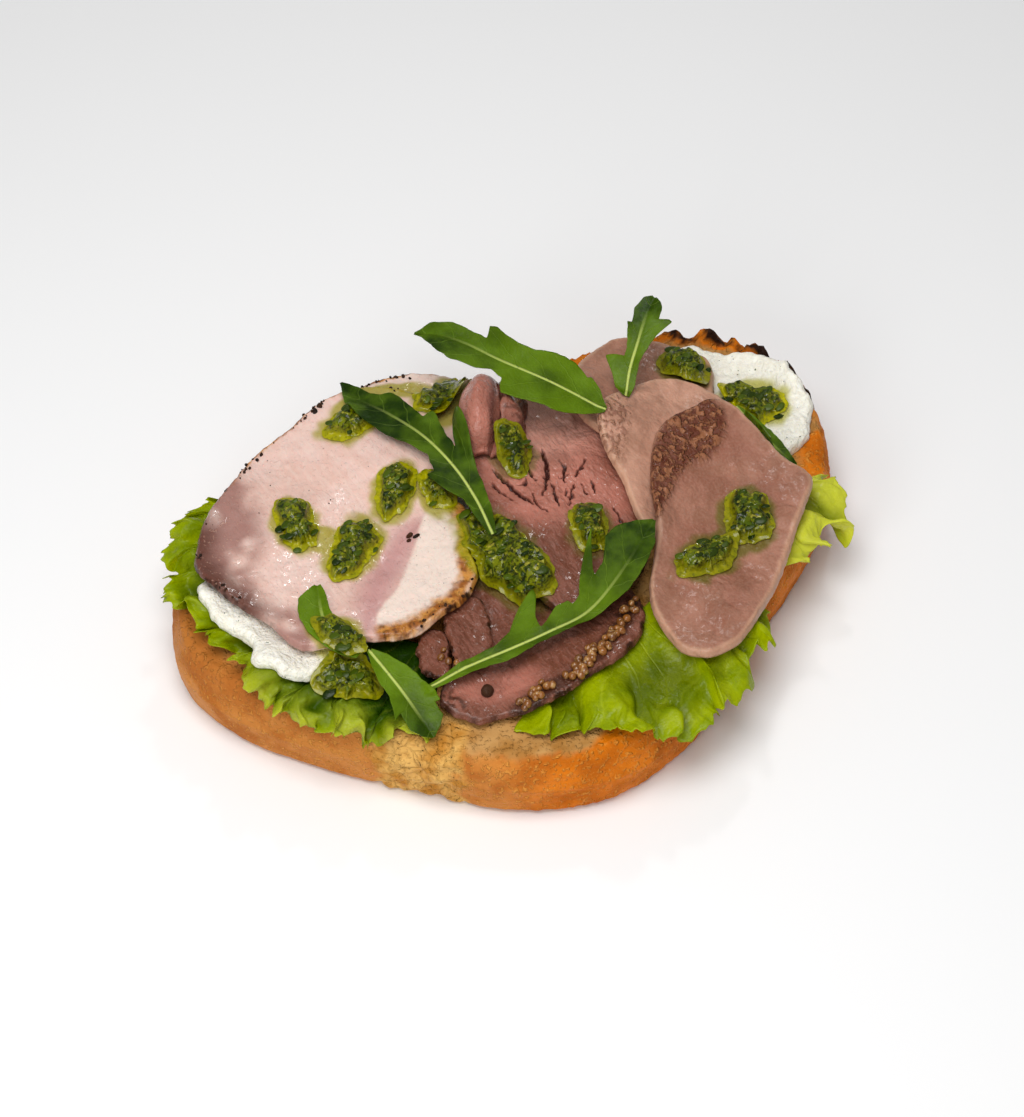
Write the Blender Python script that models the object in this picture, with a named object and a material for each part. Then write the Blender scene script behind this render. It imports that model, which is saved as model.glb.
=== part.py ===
"""Open sandwich on one thick slice of hearth bread.

Soft white cheese and lettuce lie on the bread, sliced roast pork, roast beef and boiled tongue
lie on those, and rocket leaves and dollops of green pesto lie on top. Every piece is laid on what is
already there, from the bread up, so the order of the calls in main() is the order of the pile.
Sizes in the tables are millimetres; +X runs along the bread and +Y away from its front.
"""
import math

import bmesh
import bpy
import numpy as np
from mathutils import Matrix, Vector, noise
from mathutils.bvhtree import BVHTree

MM = 0.001                  # all tables are in millimetres, the model is in metres
GAP = 0.35                  # clear space between two pieces that touch

BREAD_THICK = 25.0
CRUST_BULGE = 1.2           # how far the side wall swells past the cut edges
LIP_HEIGHT = 3.6            # torn rim of crust standing over the back right edge
CHEESE_THICK = 3.6
LETTUCE_THICK = 1.0
LETTUCE_LOFT = 3.0          # how high a crumpled leaf holds up what lies on it
PORK_THICK = 3.6
BEEF_THICK = 3.2
TONGUE_THICK = 3.8
ROCKET_THICK = 0.7

# The layout below is moved by this, so that the origin is in the middle of the sandwich's box
SHIFT = (0.0, -2.1)

FOLD_STEPS = 8              # rows of faces along the beef fold
SECTION_STEPS = 14          # and across its section
BREAD_AROUND = 52           # corners round the rim of the bread
MEAT_AROUND = 30            # of a slice of meat
DOLLOP_AROUND = 11          # and of a dollop of pesto
LOOP_POINTS = 120           # points on a smooth outline

GRID_X = 125                # half sizes of the grid of heights, in cells of 1 mm
GRID_Y = 95
SKY = 200                   # a height above the whole pile

BREAD_LOOP = [
    (-102, 31), (-101, 10), (-88, -12), (-71, -32), (-46, -57), (-18, -69), (12, -64), (42, -46),
    (75, -28), (95.5, -8), (103.5, 14), (99, 38), (84, 54), (55, 62), (18, 68), (-22, 72), (-60, 69), (-89, 54)]

# inset of the side wall from the outline, and height, from the foot of the slice to its cut top
BREAD_WALL = [(3.0, 0), (0.8, 1.8), (0, 6), (-CRUST_BULGE, 13), (0, 20), (1.6, 23.6),
              (3.6, BREAD_THICK), (7, BREAD_THICK - 0.3), (30, BREAD_THICK)]


# ---------------------------------------------------------------- curves

def catmull(p0, p1, p2, p3, t):
    """Point on the smooth curve from p1 to p2."""
    return 0.5 * (2 * p1 + (p2 - p0) * t + (2 * p0 - 5 * p1 + 4 * p2 - p3) * t * t
                  + (3 * p1 - p0 - 3 * p2 + p3) * t ** 3)


def evenly(curve, count, closed):
    """The same curve with `count` points at equal distances along it."""
    if closed:
        curve = np.vstack([curve, curve[:1]])
    along = np.concatenate([[0], np.cumsum(np.linalg.norm(np.diff(curve, axis=0), axis=1))])
    at = np.linspace(0, along[-1], count, endpoint=not closed)
    return np.stack([np.interp(at, along, curve[:, k]) for k in range(curve.shape[1])], axis=1)


def smooth_loop(points, count):
    """Closed smooth curve through the given points."""
    pts = np.array(points, float)
    size = len(pts)
    dense = [catmull(pts[i - 1], pts[i], pts[(i + 1) % size], pts[(i + 2) % size], t)
             for i in range(size) for t in np.linspace(0, 1, 12, endpoint=False)]
    return evenly(np.array(dense), count, closed=True)


def smooth_path(points, count):
    """Open smooth curve through the given points."""
    pts = np.array(points, float)
    ends = np.vstack([2 * pts[0] - pts[1], pts, 2 * pts[-1] - pts[-2]])
    dense = [catmull(*ends[i:i + 4], t)
             for i in range(len(pts) - 1) for t in np.linspace(0, 1, 12, endpoint=False)]
    return evenly(np.array(dense + [pts[-1]]), count, closed=False)


def oval(middle, half_length, half_width, heading, count=24):
    """Closed ellipse whose long axis points along `heading` degrees."""
    turn = Matrix.Rotation(math.radians(heading), 2)
    angles = [math.tau * k / count for k in range(count)]
    return [Vector(middle) + turn @ Vector((half_length * math.cos(a), half_width * math.sin(a)))
            for a in angles]


def bell(x, middle, spread):
    """Smooth bump of height one."""
    return math.exp(-((x - middle) / spread) ** 2)


# ---------------------------------------------------------------- the pile

class Pile:
    """Height of everything laid so far, seen from above on a 1 mm grid."""

    def __init__(self):
        self.top = np.zeros((2 * GRID_X + 1, 2 * GRID_Y + 1))

    def add(self, ob):
        """Raise the grid to a finished piece."""
        bpy.context.view_layer.update()
        tree = BVHTree.FromObject(ob, bpy.context.evaluated_depsgraph_get())
        corners = np.array([ob.matrix_world @ Vector(c) for c in ob.bound_box]) / MM
        low = np.floor(corners.min(0)).astype(int)
        high = np.ceil(corners.max(0)).astype(int)
        for i in range(low[0], high[0] + 1):
            for j in range(low[1], high[1] + 1):
                hit = tree.ray_cast(Vector((i, j, SKY)) * MM, Vector((0, 0, -1)))[0]
                if hit is not None:
                    cell = (i + GRID_X, j + GRID_Y)
                    self.top[cell] = max(self.top[cell], hit.z / MM)

    def floor(self):
        """The heights a new piece must clear, one cell wider than the pile."""
        wide = self.top.copy()
        for axis in (0, 1):
            wide = np.maximum(wide, np.maximum(np.roll(wide, 1, axis), np.roll(wide, -1, axis)))
        return wide + GAP

    def rest(self, loop, evenness):
        """Surface on which a soft slice with this outline comes to lie.

        More evenness bridges the hollows of the pile more stiffly.
        """
        inside = widened(cells_inside(loop), 3)
        floor = self.floor()
        held = inside & (floor > BREAD_THICK)
        known = held.astype(float)
        height = np.where(held, floor, 0.0)
        while (inside & (known == 0)).any():      # carry the height on past the bread's edge
            spread = blurred(known)
            reached = (spread > 0) & (known == 0)
            height = np.where(reached, blurred(height) / spread.clip(1e-9), height)
            known[reached] = 1.0
        mask = inside.astype(float)
        share = blurred(mask).clip(1e-9)
        for _ in range(evenness):
            height = blurred(height * mask) / share
            height = np.where(held, np.maximum(height, floor), height)
        return height


def cells_inside(loop):
    """Which cells of the grid lie inside a closed outline."""
    across, up = np.arange(-GRID_X, GRID_X + 1.0), np.arange(-GRID_Y, GRID_Y + 1.0)
    x, y = np.meshgrid(across, up, indexing="ij")
    inside = np.zeros(x.shape, bool)
    for (x0, y0), (x1, y1) in zip(loop, np.roll(loop, -1, axis=0)):
        if y0 != y1:
            crossing = (y0 > y) != (y1 > y)
            inside ^= crossing & (x < (x1 - x0) * (y - y0) / (y1 - y0) + x0)
    return inside


def widened(mask, cells):
    """The same cells and those within a few steps of them."""
    for _ in range(cells):
        beside = np.roll(mask, 1, 0) | np.roll(mask, -1, 0)
        mask = mask | beside | np.roll(mask, 1, 1) | np.roll(mask, -1, 1)
    return mask


def blurred(field):
    """One step of smoothing over the neighbouring cells."""
    for axis in (0, 1):
        field = (np.roll(field, 1, axis) + 2 * field + np.roll(field, -1, axis)) / 4
    return field


def sample(field, x, y):
    """Height between the cells of a grid."""
    i = min(max(x + GRID_X, 0), 2 * GRID_X - 0.001)
    j = min(max(y + GRID_Y, 0), 2 * GRID_Y - 0.001)
    a, b = int(i), int(j)
    u, v = i - a, j - b
    return ((1 - u) * (1 - v) * field[a, b] + u * (1 - v) * field[a + 1, b]
            + (1 - u) * v * field[a, b + 1] + u * v * field[a + 1, b + 1])


# ---------------------------------------------------------------- meshes

def spun(spoke, around):
    """Turn a spoke of (radius, height) pairs about Z; its poles are merged."""
    bm = bmesh.new()
    verts = [bm.verts.new((radius, 0, height)) for radius, height in spoke]
    edges = [bm.edges.new(pair) for pair in zip(verts, verts[1:])]
    bmesh.ops.spin(bm, geom=verts + edges, cent=(0, 0, 0), axis=(0, 0, 1), angle=math.tau,
                   steps=around, use_merge=True)
    bmesh.ops.remove_doubles(bm, verts=bm.verts, dist=1e-4)
    return bm


def polar(vert):
    """Radius and turn (0 to 1) of a spun vertex."""
    return math.hypot(vert.co.x, vert.co.y), (math.atan2(vert.co.y, vert.co.x) / math.tau) % 1.0


def loop_at(loop, turn):
    """Point of an evenly spaced closed outline at a turn of 0 to 1."""
    place = (turn * len(loop)) % len(loop)
    first = int(place)
    part = place - first
    return loop[first % len(loop)] * (1 - part) + loop[(first + 1) % len(loop)] * part


def lift_clear(bm, pile):
    """Raise the faces of a sheet until none dips into the pile below."""
    floor = pile.floor()
    for _ in range(8):
        tree = BVHTree.FromBMesh(bm)
        bm.faces.ensure_lookup_table()
        xs = [v.co.x for v in bm.verts]
        ys = [v.co.y for v in bm.verts]
        raised = {}
        for i in range(math.floor(min(xs)), math.ceil(max(xs)) + 1):
            for j in range(math.floor(min(ys)), math.ceil(max(ys)) + 1):
                hit, _, index, _ = tree.ray_cast(Vector((i, j, SKY)), Vector((0, 0, -1)))
                if hit is None:
                    continue
                short = floor[i + GRID_X, j + GRID_Y] - hit.z
                if short > 0:
                    for vert in bm.faces[index].verts:
                        raised[vert] = max(raised.get(vert, 0), short)
        for vert in bm.verts:
            short = sample(floor, vert.co.x, vert.co.y) - vert.co.z
            if short > 0:
                raised[vert] = max(raised.get(vert, 0), short)
        if not raised:
            return
        for vert, short in raised.items():
            vert.co.z += short


def face_outwards(bm):
    """Point every face of a closed mesh out of it."""
    bmesh.ops.recalc_face_normals(bm, faces=bm.faces)
    if bm.calc_volume(signed=True) < 0:
        bmesh.ops.reverse_faces(bm, faces=bm.faces)


def thicken(bm, thickness):
    """Give a sheet a top that stands over it by what `thickness` says of each vertex."""
    rises = {tuple(vert.co): thickness(vert) for vert in bm.verts}
    made = bmesh.ops.extrude_face_region(bm, geom=bm.faces[:], use_keep_orig=True)["geom"]
    for item in made:
        if isinstance(item, bmesh.types.BMVert):
            item.co.z += rises[tuple(item.co)]
    face_outwards(bm)


def finish(name, bm, material, smooth_angle=50):
    """Turn a mesh in millimetres into a named object in metres."""
    bmesh.ops.scale(bm, verts=bm.verts, vec=(MM, MM, MM))
    mesh = bpy.data.meshes.new(name)
    bm.to_mesh(mesh)
    bm.free()
    mesh.shade_smooth()
    mesh.set_sharp_from_angle(angle=math.radians(smooth_angle))
    mesh.materials.append(material)
    ob = bpy.data.objects.new(name, mesh)
    sandwich.objects.link(ob)
    return ob


def material(name, color, roughness):
    mat = bpy.data.materials.new(name)
    mat.use_nodes = True
    shader = mat.node_tree.nodes["Principled BSDF"]
    shader.inputs["Base Color"].default_value = (*color, 1)
    shader.inputs["Roughness"].default_value = roughness
    shader.inputs["Metallic"].default_value = 0
    mat.diffuse_color = (*color, 1)
    return mat


# ---------------------------------------------------------------- kinds of piece

def bread_slice(pile):
    """Thick slice: flat cut faces above and below, and a crust wall that swells between them."""
    loop = smooth_loop(BREAD_LOOP, LOOP_POINTS)
    middle = loop.mean(0)
    spoke = [(0, 0)] + [(1 + k, height) for k, (_, height) in enumerate(BREAD_WALL)] + [(0, BREAD_THICK)]
    bm = spun(spoke, BREAD_AROUND)
    for vert in bm.verts:
        radius, turn = polar(vert)
        if radius < 0.5:
            vert.co.x, vert.co.y = middle
            continue
        inset = BREAD_WALL[round(radius) - 1][0]
        edge = loop_at(loop, turn)
        reach = np.linalg.norm(edge - middle)
        wave = noise.noise(Vector((edge[0] / 17, edge[1] / 17, vert.co.z / 14)))
        inset = min(inset, reach * 0.75) + 0.9 * wave
        place = middle + (edge - middle) * (1 - inset / reach)
        vert.co.x, vert.co.y = place
        if vert.co.z > BREAD_THICK - 0.5:
            torn = bell(inset, 2.8, 2.2) * lip(edge)
            vert.co.z += LIP_HEIGHT * torn + 0.25 * noise.noise(Vector((*place / 9, 0)))
    face_outwards(bm)
    pile.add(finish("bread_slice", bm, CRUST))


def lip(edge):
    """How far the torn rim stands up, 0 to 1: only round the back right, in uneven bumps."""
    turn = math.degrees(math.atan2(edge[1], edge[0]))
    reach = max(0.0, min(1.0, (turn + 2) / 12, (58 - turn) / 10))
    return reach * (0.75 + 0.45 * math.sin(turn * 0.55) * math.sin(turn * 0.9 + 1))


def laid_slice(pile, name, outline, thickness, mat, evenness, curl):
    """Slice of meat: its underside rests on the pile, and its rim is a little thinner.

    The slice stands off what is below it by `curl`: (x, y, reach, height).
    """
    curl_x, curl_y, reach, height = curl
    loop = smooth_loop(outline, LOOP_POINTS)
    middle = loop.mean(0)
    rest = pile.rest(loop, evenness)
    bm = spun([(0, 0), (0.5, 0), (0.86, 0), (1, 0)], MEAT_AROUND)
    rim = {}
    for vert in bm.verts:
        radius, turn = polar(vert)
        x, y = middle + (loop_at(loop, turn) - middle) * radius
        stand = height * bell(math.hypot(x - curl_x, y - curl_y), 0, reach)
        vert.co = (x, y, sample(rest, x, y) + stand)
        rim[vert] = radius
    lift_clear(bm, pile)
    thicken(bm, lambda vert: thickness * (0.72 if rim[vert] > 0.99 else 1.0))
    pile.add(finish(name, bm, mat))


def mound(pile, name, outline, height, mat, around=DOLLOP_AROUND, evenness=8, flat=0.5, lumps=0.12):
    """Spooned dollop or spread: flat underneath, rounded at the rim, `flat` of it level on top."""
    loop = smooth_loop(outline, LOOP_POINTS)
    middle = loop.mean(0)
    rest = pile.rest(loop, evenness)
    bm = spun([(0, 0), (flat, 0), (0.5 + 0.5 * flat, 0), (1, 0)], around)
    rim = {}
    for vert in bm.verts:
        radius, turn = polar(vert)
        x, y = middle + (loop_at(loop, turn) - middle) * radius
        vert.co = (x, y, sample(rest, x, y))
        rim[vert] = radius
    lift_clear(bm, pile)

    def dome(vert):
        out = max(0.0, (rim[vert] - flat) / (1 - flat))
        lump = 1 + lumps * noise.noise(vert.co / 5)
        return height * lump * (0.22 + 0.78 * math.sqrt(max(0.0, 1 - out * out)))

    thicken(bm, dome)
    pile.add(finish(name, bm, mat))


def lettuce_leaf(pile, name, outer, inner, frill, wave, droop, phase=0.0, along=36, across=4):
    """Frilled leaf: it lies under the meat along `inner` and ruffles up along `outer`."""
    outer_path = smooth_path(outer, along + 1)
    inner_path = smooth_path(inner, along + 1)
    length = np.linalg.norm(np.diff(outer_path, axis=0), axis=1).sum()
    rest = pile.rest(np.vstack([outer_path, inner_path[::-1]]), 4)
    edge = smooth_loop(BREAD_LOOP, LOOP_POINTS)
    bread = cells_inside(edge)
    bm = bmesh.new()
    bmesh.ops.create_grid(bm, x_segments=along, y_segments=across, size=1)
    for vert in bm.verts:
        step = round((vert.co.x + 1) / 2 * along)
        out = (vert.co.y + 1) / 2
        waves = math.tau * length * step / along / wave
        ruffle = math.sin(waves + phase)
        second = math.sin(waves / 0.61 + 2 * phase)
        heading = outer_path[step] - inner_path[step]
        heading = heading / np.linalg.norm(heading)
        x, y = inner_path[step] * (1 - out) + outer_path[step] * out + heading * 1.6 * second * out ** 3
        past = 0.0
        if not bread[round(x) + GRID_X, round(y) + GRID_Y]:
            past = np.linalg.norm(edge - (x, y), axis=1).min()
        crumple = LETTUCE_LOFT * (0.75 + 0.35 * noise.noise(Vector((x / 11, y / 11, phase))))
        ruffle = frill * out ** 2 * (0.7 * ruffle + 0.35 * second)
        vert.co = (x, y, sample(rest, x, y) + crumple + ruffle - droop * past)
    lift_clear(bm, pile)
    thicken(bm, lambda vert: LETTUCE_THICK)
    pile.add(finish(name, bm, LETTUCE))


def rocket_leaf(pile, name, midrib, lobes, stalk, curl=0.15, along=18):
    """Lobed leaf on a midrib of (x, y, height over the table).

    Each lobe is (place 0 to 1, side +1 or -1, half width, spread 0 to 1); side 0 is both.
    """
    rib = smooth_path(midrib, along + 1)
    bm = bmesh.new()
    bmesh.ops.create_grid(bm, x_segments=along, y_segments=2, size=1)
    for vert in bm.verts:
        step = round((vert.co.x + 1) / 2 * along)
        part = step / along
        side = vert.co.y
        ahead = rib[min(step + 1, along)] - rib[max(step - 1, 0)]
        ahead = ahead[:2] / np.linalg.norm(ahead[:2])
        across = np.array((-ahead[1], ahead[0]))
        width = 0.9
        for place, which, half, spread in lobes:
            if which * side >= 0:
                width += half * bell(part, place, spread)
        if part < stalk:
            width = 0.9
        width *= math.sqrt(max(0.0, 1 - part ** 8)) + 0.02
        x, y = rib[step][:2] + across * side * width + ahead * 0.35 * width * side * side
        vert.co = (x, y, rib[step][2] + curl * width * abs(side) ** 1.5)
    lift_clear(bm, pile)
    thicken(bm, lambda vert: ROCKET_THICK)
    pile.add(finish(name, bm, ROCKET))


def beef_fold(pile):
    """Slice pushed together into two upright folds."""
    ridge = smooth_path(FOLD_RIDGE, FOLD_STEPS + 1)
    section = smooth_path(FOLD_SECTION, SECTION_STEPS + 1)
    rest = pile.rest(smooth_loop(FOLD_FOOT, LOOP_POINTS), 60)
    bm = bmesh.new()
    bmesh.ops.create_grid(bm, x_segments=FOLD_STEPS, y_segments=SECTION_STEPS, size=1)
    for vert in bm.verts:
        step = round((vert.co.x + 1) / 2 * FOLD_STEPS)
        place = round((vert.co.y + 1) / 2 * SECTION_STEPS)
        ahead = ridge[min(step + 1, FOLD_STEPS)] - ridge[max(step - 1, 0)]
        ahead = ahead / np.linalg.norm(ahead)
        across = np.array((ahead[1], -ahead[0]))
        swell = 0.55 + 0.45 * math.sin(math.pi * (0.12 + 0.8 * step / FOLD_STEPS))
        x, y = ridge[step] + across * section[place][0] * (0.1 + 0.9 * swell)
        vert.co = (x, y, sample(rest, x, y) + section[place][1] * swell)
    lift_clear(bm, pile)
    thicken(bm, lambda vert: BEEF_THICK)
    pile.add(finish("beef_fold", bm, BEEF))


# ---------------------------------------------------------------- the sandwich

LETTUCES = {
    # outer edge, inner edge, frill height, ruffle length, droop over the crust, phase
    "lettuce_leaf_left": (
        [(-62, 68), (-80, 64), (-94, 52), (-99, 38), (-98, 25), (-94, 12), (-95, -2), (-92, -14), (-84, -25),
         (-74, -34), (-62, -41)],
        [(-40, 40), (-55, 40), (-62, 34), (-66, 28), (-66, 22), (-64, 14), (-62, 8), (-58, 2), (-53, -4),
         (-48, -10), (-42, -16)], 3.4, 22, 1.0, 0.4),
    "lettuce_leaf_right": (
        [(-37, -50), (-29, -57), (-20, -65), (-8, -70), (6, -73), (19, -72), (31, -65), (41, -57), (46, -49)],
        [(-16, -26), (-10, -30), (-4, -34), (2, -34), (9, -34), (16, -32), (22, -30), (27, -27), (32, -24)],
        3.6, 24, 1.0, 1.9),
    "lettuce_leaf_end": (
        [(54, -42), (62, -41), (70, -40), (78, -38), (84, -32), (87, -25), (86, -18)],
        [(50, -22), (56, -20), (61, -17), (65, -13), (69, -10), (73, -7), (76, -4)], 3.0, 19, 1.0, 0.9),
}

CHEESE_LOOP = [
    (-93, 33), (-93, 21), (-89, 10), (-91, 1), (-82, -8), (-73, -7), (-50, 0), (0, -4), (50, 0), (80, -5),
    (94, 0), (101, 9), (101, 24), (93, 38), (80, 50), (50, 52), (0, 48), (-50, 42), (-80, 40)]

SLICES = {
    # outline, kind of meat, thickness, evenness, curl
    "beef_slice_front": (
        [(-52, -32), (-51, -38), (-47, -43), (-42, -45), (-34, -48), (-24, -49), (-12, -48), (-1, -46),
         (7, -42), (12, -35), (14, -25), (12, -14), (6, -2), (-10, 8), (-26, 4), (-36, -12), (-44, -24)],
        "beef", BEEF_THICK, 160, (-50, -30, 15, 1)),
    "beef_end_left": (
        [(-50, -16), (-45, -11), (-40, -14), (-43, -22), (-48, -28), (-52, -23)],
        "beef", BEEF_THICK, 60, (-45, -12, 8, 1)),
    "beef_end_right": (
        [(-33, -6), (-26, -9), (-28, -18), (-34, -28), (-41, -30), (-43, -24), (-39, -12)],
        "beef", BEEF_THICK, 60, (-33, -15, 10, 1)),
    "pork_slice_back": (
        [(-34, 71), (-25, 77), (-16, 79), (-6, 78), (5, 74), (13, 66), (15, 52), (8, 38), (-10, 34),
         (-30, 44), (-40, 60)], "pork", PORK_THICK, 260, (-8, 76, 30, 5)),
    "pork_slice_front": (
        [(-91, 35), (-89, 42), (-80, 53), (-68, 62), (-55, 70), (-42, 73), (-28, 76), (-14, 73), (-4, 62),
         (-6, 44), (-14, 28), (-13, 18), (-20, 7), (-23, -3), (-31, -10), (-41, -12), (-49, -13), (-56, -10),
         (-67, -5), (-79, -2), (-83, 12), (-88, 23)], "pork", PORK_THICK, 300, (-48, 72, 36, 3)),
    "beef_slice_fan": (
        [(19, 51), (31, 47), (36, 32), (34.5, 16), (32.5, 4), (28.5, -8), (21, -22), (2, -30), (-10, -24), (-11, -7),
         (-9, 8), (-9, 20), (-5, 31), (6, 45)], "beef", BEEF_THICK, 240, (12, 12, 26, 4)),
    "tongue_slice_back": (
        [(37, 42), (46, 53), (60, 57), (68, 52), (74, 45), (80, 36), (76, 26), (66, 14), (50, 12), (36, 22),
         (33, 34)], "tongue", TONGUE_THICK, 200, (38, 46, 14, 4)),
    "tongue_slice_middle": (
        [(30, 4), (32, 19), (37, 28), (47, 32), (56, 33), (65, 30), (71, 22), (73, 14), (66, 0), (50, -16),
         (36, -22), (27, -12)], "tongue", TONGUE_THICK, 260, (36, 25, 15, 2)),
    "tongue_slice_front": (
        [(78, -22), (75, -11), (74, 2), (72, 11), (68, 15), (59, 15), (49, 13), (42, 7), (35, -3), (29, -16),
         (22, -25), (17, -31), (13, -39), (12, -48), (13, -55), (18, -60), (27, -60), (36, -56), (48, -48),
         (59, -39), (70, -30)], "tongue", TONGUE_THICK, 260, (76, -18, 22, 3)),
}

FOLD_RIDGE = [(-1, 31), (3, 40), (8, 48), (14, 57)]
FOLD_FOOT = [(-9, 30), (-2, 27), (8, 28), (16, 34), (25, 44), (22, 56), (10, 62), (-2, 54)]
# distance across the ridge, and height over the pile
FOLD_SECTION = [(-5.5, 0), (-5, 7), (-1, 12), (4, 9.5), (5.6, 4.5), (7.5, 7), (10.5, 7), (13, 4), (14, 0)]

PESTO = {
    # oval (middle, half length, half width, heading), height
    "pesto_dollop_01": (((-59, 37), 9.5, 5.0, 75), 4.2),
    "pesto_dollop_02": (((-49, 23), 11.0, 6.0, 35), 4.6),
    "pesto_dollop_03": (((-28, 63), 7.5, 5.0, -10), 4.4),
    "pesto_dollop_04": (((-28, 35), 9.5, 5.0, 40), 4.6),
    "pesto_dollop_05": (((-18, 28), 5.5, 3.8, 70), 3.8),
    "pesto_dollop_06": (((3, 60), 9.0, 6.0, 30), 5.5),
    "pesto_dollop_07": (((7.5, 27.5), 5.6, 5.0, 60), 3.6),
    "pesto_dollop_08": (((-13.5, -1), 17.0, 8.0, -82), 6.0),
    "pesto_dollop_09": (((12.5, -6.5), 7.5, 5.5, 60), 5.0),
    "pesto_dollop_10": (((54, -25), 8.5, 6.5, 70), 4.8),
    "pesto_dollop_11": (((36, -31), 9.5, 4.8, 0), 4.4),
    "pesto_dollop_12": (((72, 35), 7.5, 5.5, -70), 5.0),
    "pesto_dollop_13": (((84, 16), 9.0, 7.0, -50), 4.5),
    "pesto_dollop_14": (((-70, -14.5), 9.0, 6.0, -20), 3.8),
}
PESTO_ON_LEAF = {"pesto_dollop_15": (((-68, -4), 8.0, 4.5, -70), 3.6)}

ROCKET_LEAVES = {
    # midrib (x, y, height), lobes (place, side, half width, spread), bare stalk
    "rocket_leaf_1": (
        [(36.5, 24, 45), (27, 38.5, 49), (17, 52, 52), (11, 61, 54), (6, 68, 54), (1, 74, 52)],
        [(0.2, 0, 9.5, 0.2), (0.4, 1, 4, 0.1), (0.5, -1, 8, 0.12), (0.56, 1, 6, 0.1), (0.78, 0, 6, 0.15)], 0.0),
    "rocket_leaf_2": (
        [(46, 28, 41), (51, 34, 45), (56, 38, 50), (62, 43, 54), (67, 46, 57)],
        [(0.3, 1, 4.0, 0.09), (0.45, 0, 2.4, 0.3), (0.8, 0, 3.4, 0.2), (0.72, -1, 2.0, 0.06)], 0.0),
    "rocket_leaf_3": (
        [(-15, 2, 43), (-12.5, 15, 43), (-11.5, 29, 43), (-13, 44, 43), (-17, 58, 42), (-21, 68, 41),
         (-22, 78, 40)],
        [(0.3, 0, 3, 0.2), (0.5, -1, 12, 0.07), (0.6, 1, 6, 0.08), (0.8, 0, 6, 0.14)], 0.0),
    "rocket_leaf_4": (
        [(-54, -30, 34), (-42, -30, 35), (-29, -32, 37), (-17, -33, 38), (-5, -33, 39), (8, -28, 41),
         (27, -17, 43)],
        [(0.32, 1, 10, 0.05), (0.48, 0, 3, 0.08), (0.6, 1, 14, 0.05), (0.8, 0, 6, 0.13)], 0.25),
    "rocket_leaf_5": (
        [(-65, -11, 36), (-68, -6, 37), (-69, 3, 38), (-65, 14, 39)],
        [(0.3, 0, 4, 0.2), (0.75, 0, 5, 0.18)], 0.0),
    "rocket_leaf_6": (
        [(-63, -12, 36), (-62, -20, 35), (-61, -29, 33), (-60, -42, 29)],
        [(0.3, 0, 4, 0.2), (0.6, 0, 5, 0.18), (0.85, 0, 4, 0.12)], 0.0),
    "rocket_leaf_7": ([(76, 14, 34), (77, 2, 33), (79, -13, 32)], [(0.5, 0, 2.2, 0.3)], 0.0),
}


def main():
    pile = Pile()
    bread_slice(pile)
    lettuce_leaf(pile, "lettuce_leaf_left", *LETTUCES["lettuce_leaf_left"])
    mound(pile, "soft_cheese_spread", CHEESE_LOOP, CHEESE_THICK, CHEESE, around=36, evenness=30, flat=0.9)
    for name in ("lettuce_leaf_right", "lettuce_leaf_end"):
        lettuce_leaf(pile, name, *LETTUCES[name], along=28)
    meats = {"beef": BEEF, "pork": PORK, "tongue": TONGUE}
    for name, (outline, kind, thickness, evenness, curl) in SLICES.items():
        laid_slice(pile, name, outline, thickness, meats[kind], evenness, curl)
        if name == "beef_slice_fan":
            beef_fold(pile)
    for name, (place, height) in PESTO.items():
        mound(pile, name, oval(*place), height, PESTO_GREEN)
    for name, (midrib, lobes, stalk) in ROCKET_LEAVES.items():
        rocket_leaf(pile, name, midrib, lobes, stalk)
    for name, (place, height) in PESTO_ON_LEAF.items():
        mound(pile, name, oval(*place), height, PESTO_GREEN)
    for ob in sandwich.objects:
        ob.data.transform(Matrix.Translation(Vector((*SHIFT, 0)) * MM))


for old in list(bpy.data.objects):
    bpy.data.objects.remove(old)
sandwich = bpy.data.collections.new("open_sandwich")
bpy.context.scene.collection.children.link(sandwich)

CRUST = material("baked_crust", (0.45, 0.20, 0.06), 0.6)
CHEESE = material("soft_white_cheese", (0.85, 0.84, 0.78), 0.5)
LETTUCE = material("lettuce", (0.24, 0.48, 0.04), 0.45)
PORK = material("roast_pork", (0.70, 0.48, 0.42), 0.4)
BEEF = material("roast_beef", (0.36, 0.13, 0.10), 0.4)
TONGUE = material("boiled_tongue", (0.42, 0.25, 0.19), 0.4)
PESTO_GREEN = material("herb_pesto", (0.12, 0.20, 0.01), 0.25)
ROCKET = material("rocket", (0.06, 0.20, 0.01), 0.4)

main()
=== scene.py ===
"""Looks of an open sandwich: sliced meats, rocket and green pesto on a slice of hearth bread.

Every piece is laid on what is already there, in the order of main(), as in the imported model. The tables
are in millimetres, with the middle of the layout as their origin; SHIFT takes them to the model's frame.
"""

import math

import bmesh
import bpy
import numpy as np
from bpy.props import FloatProperty, FloatVectorProperty, PointerProperty, StringProperty
from mathutils import Euler, Matrix, Vector, noise


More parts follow.
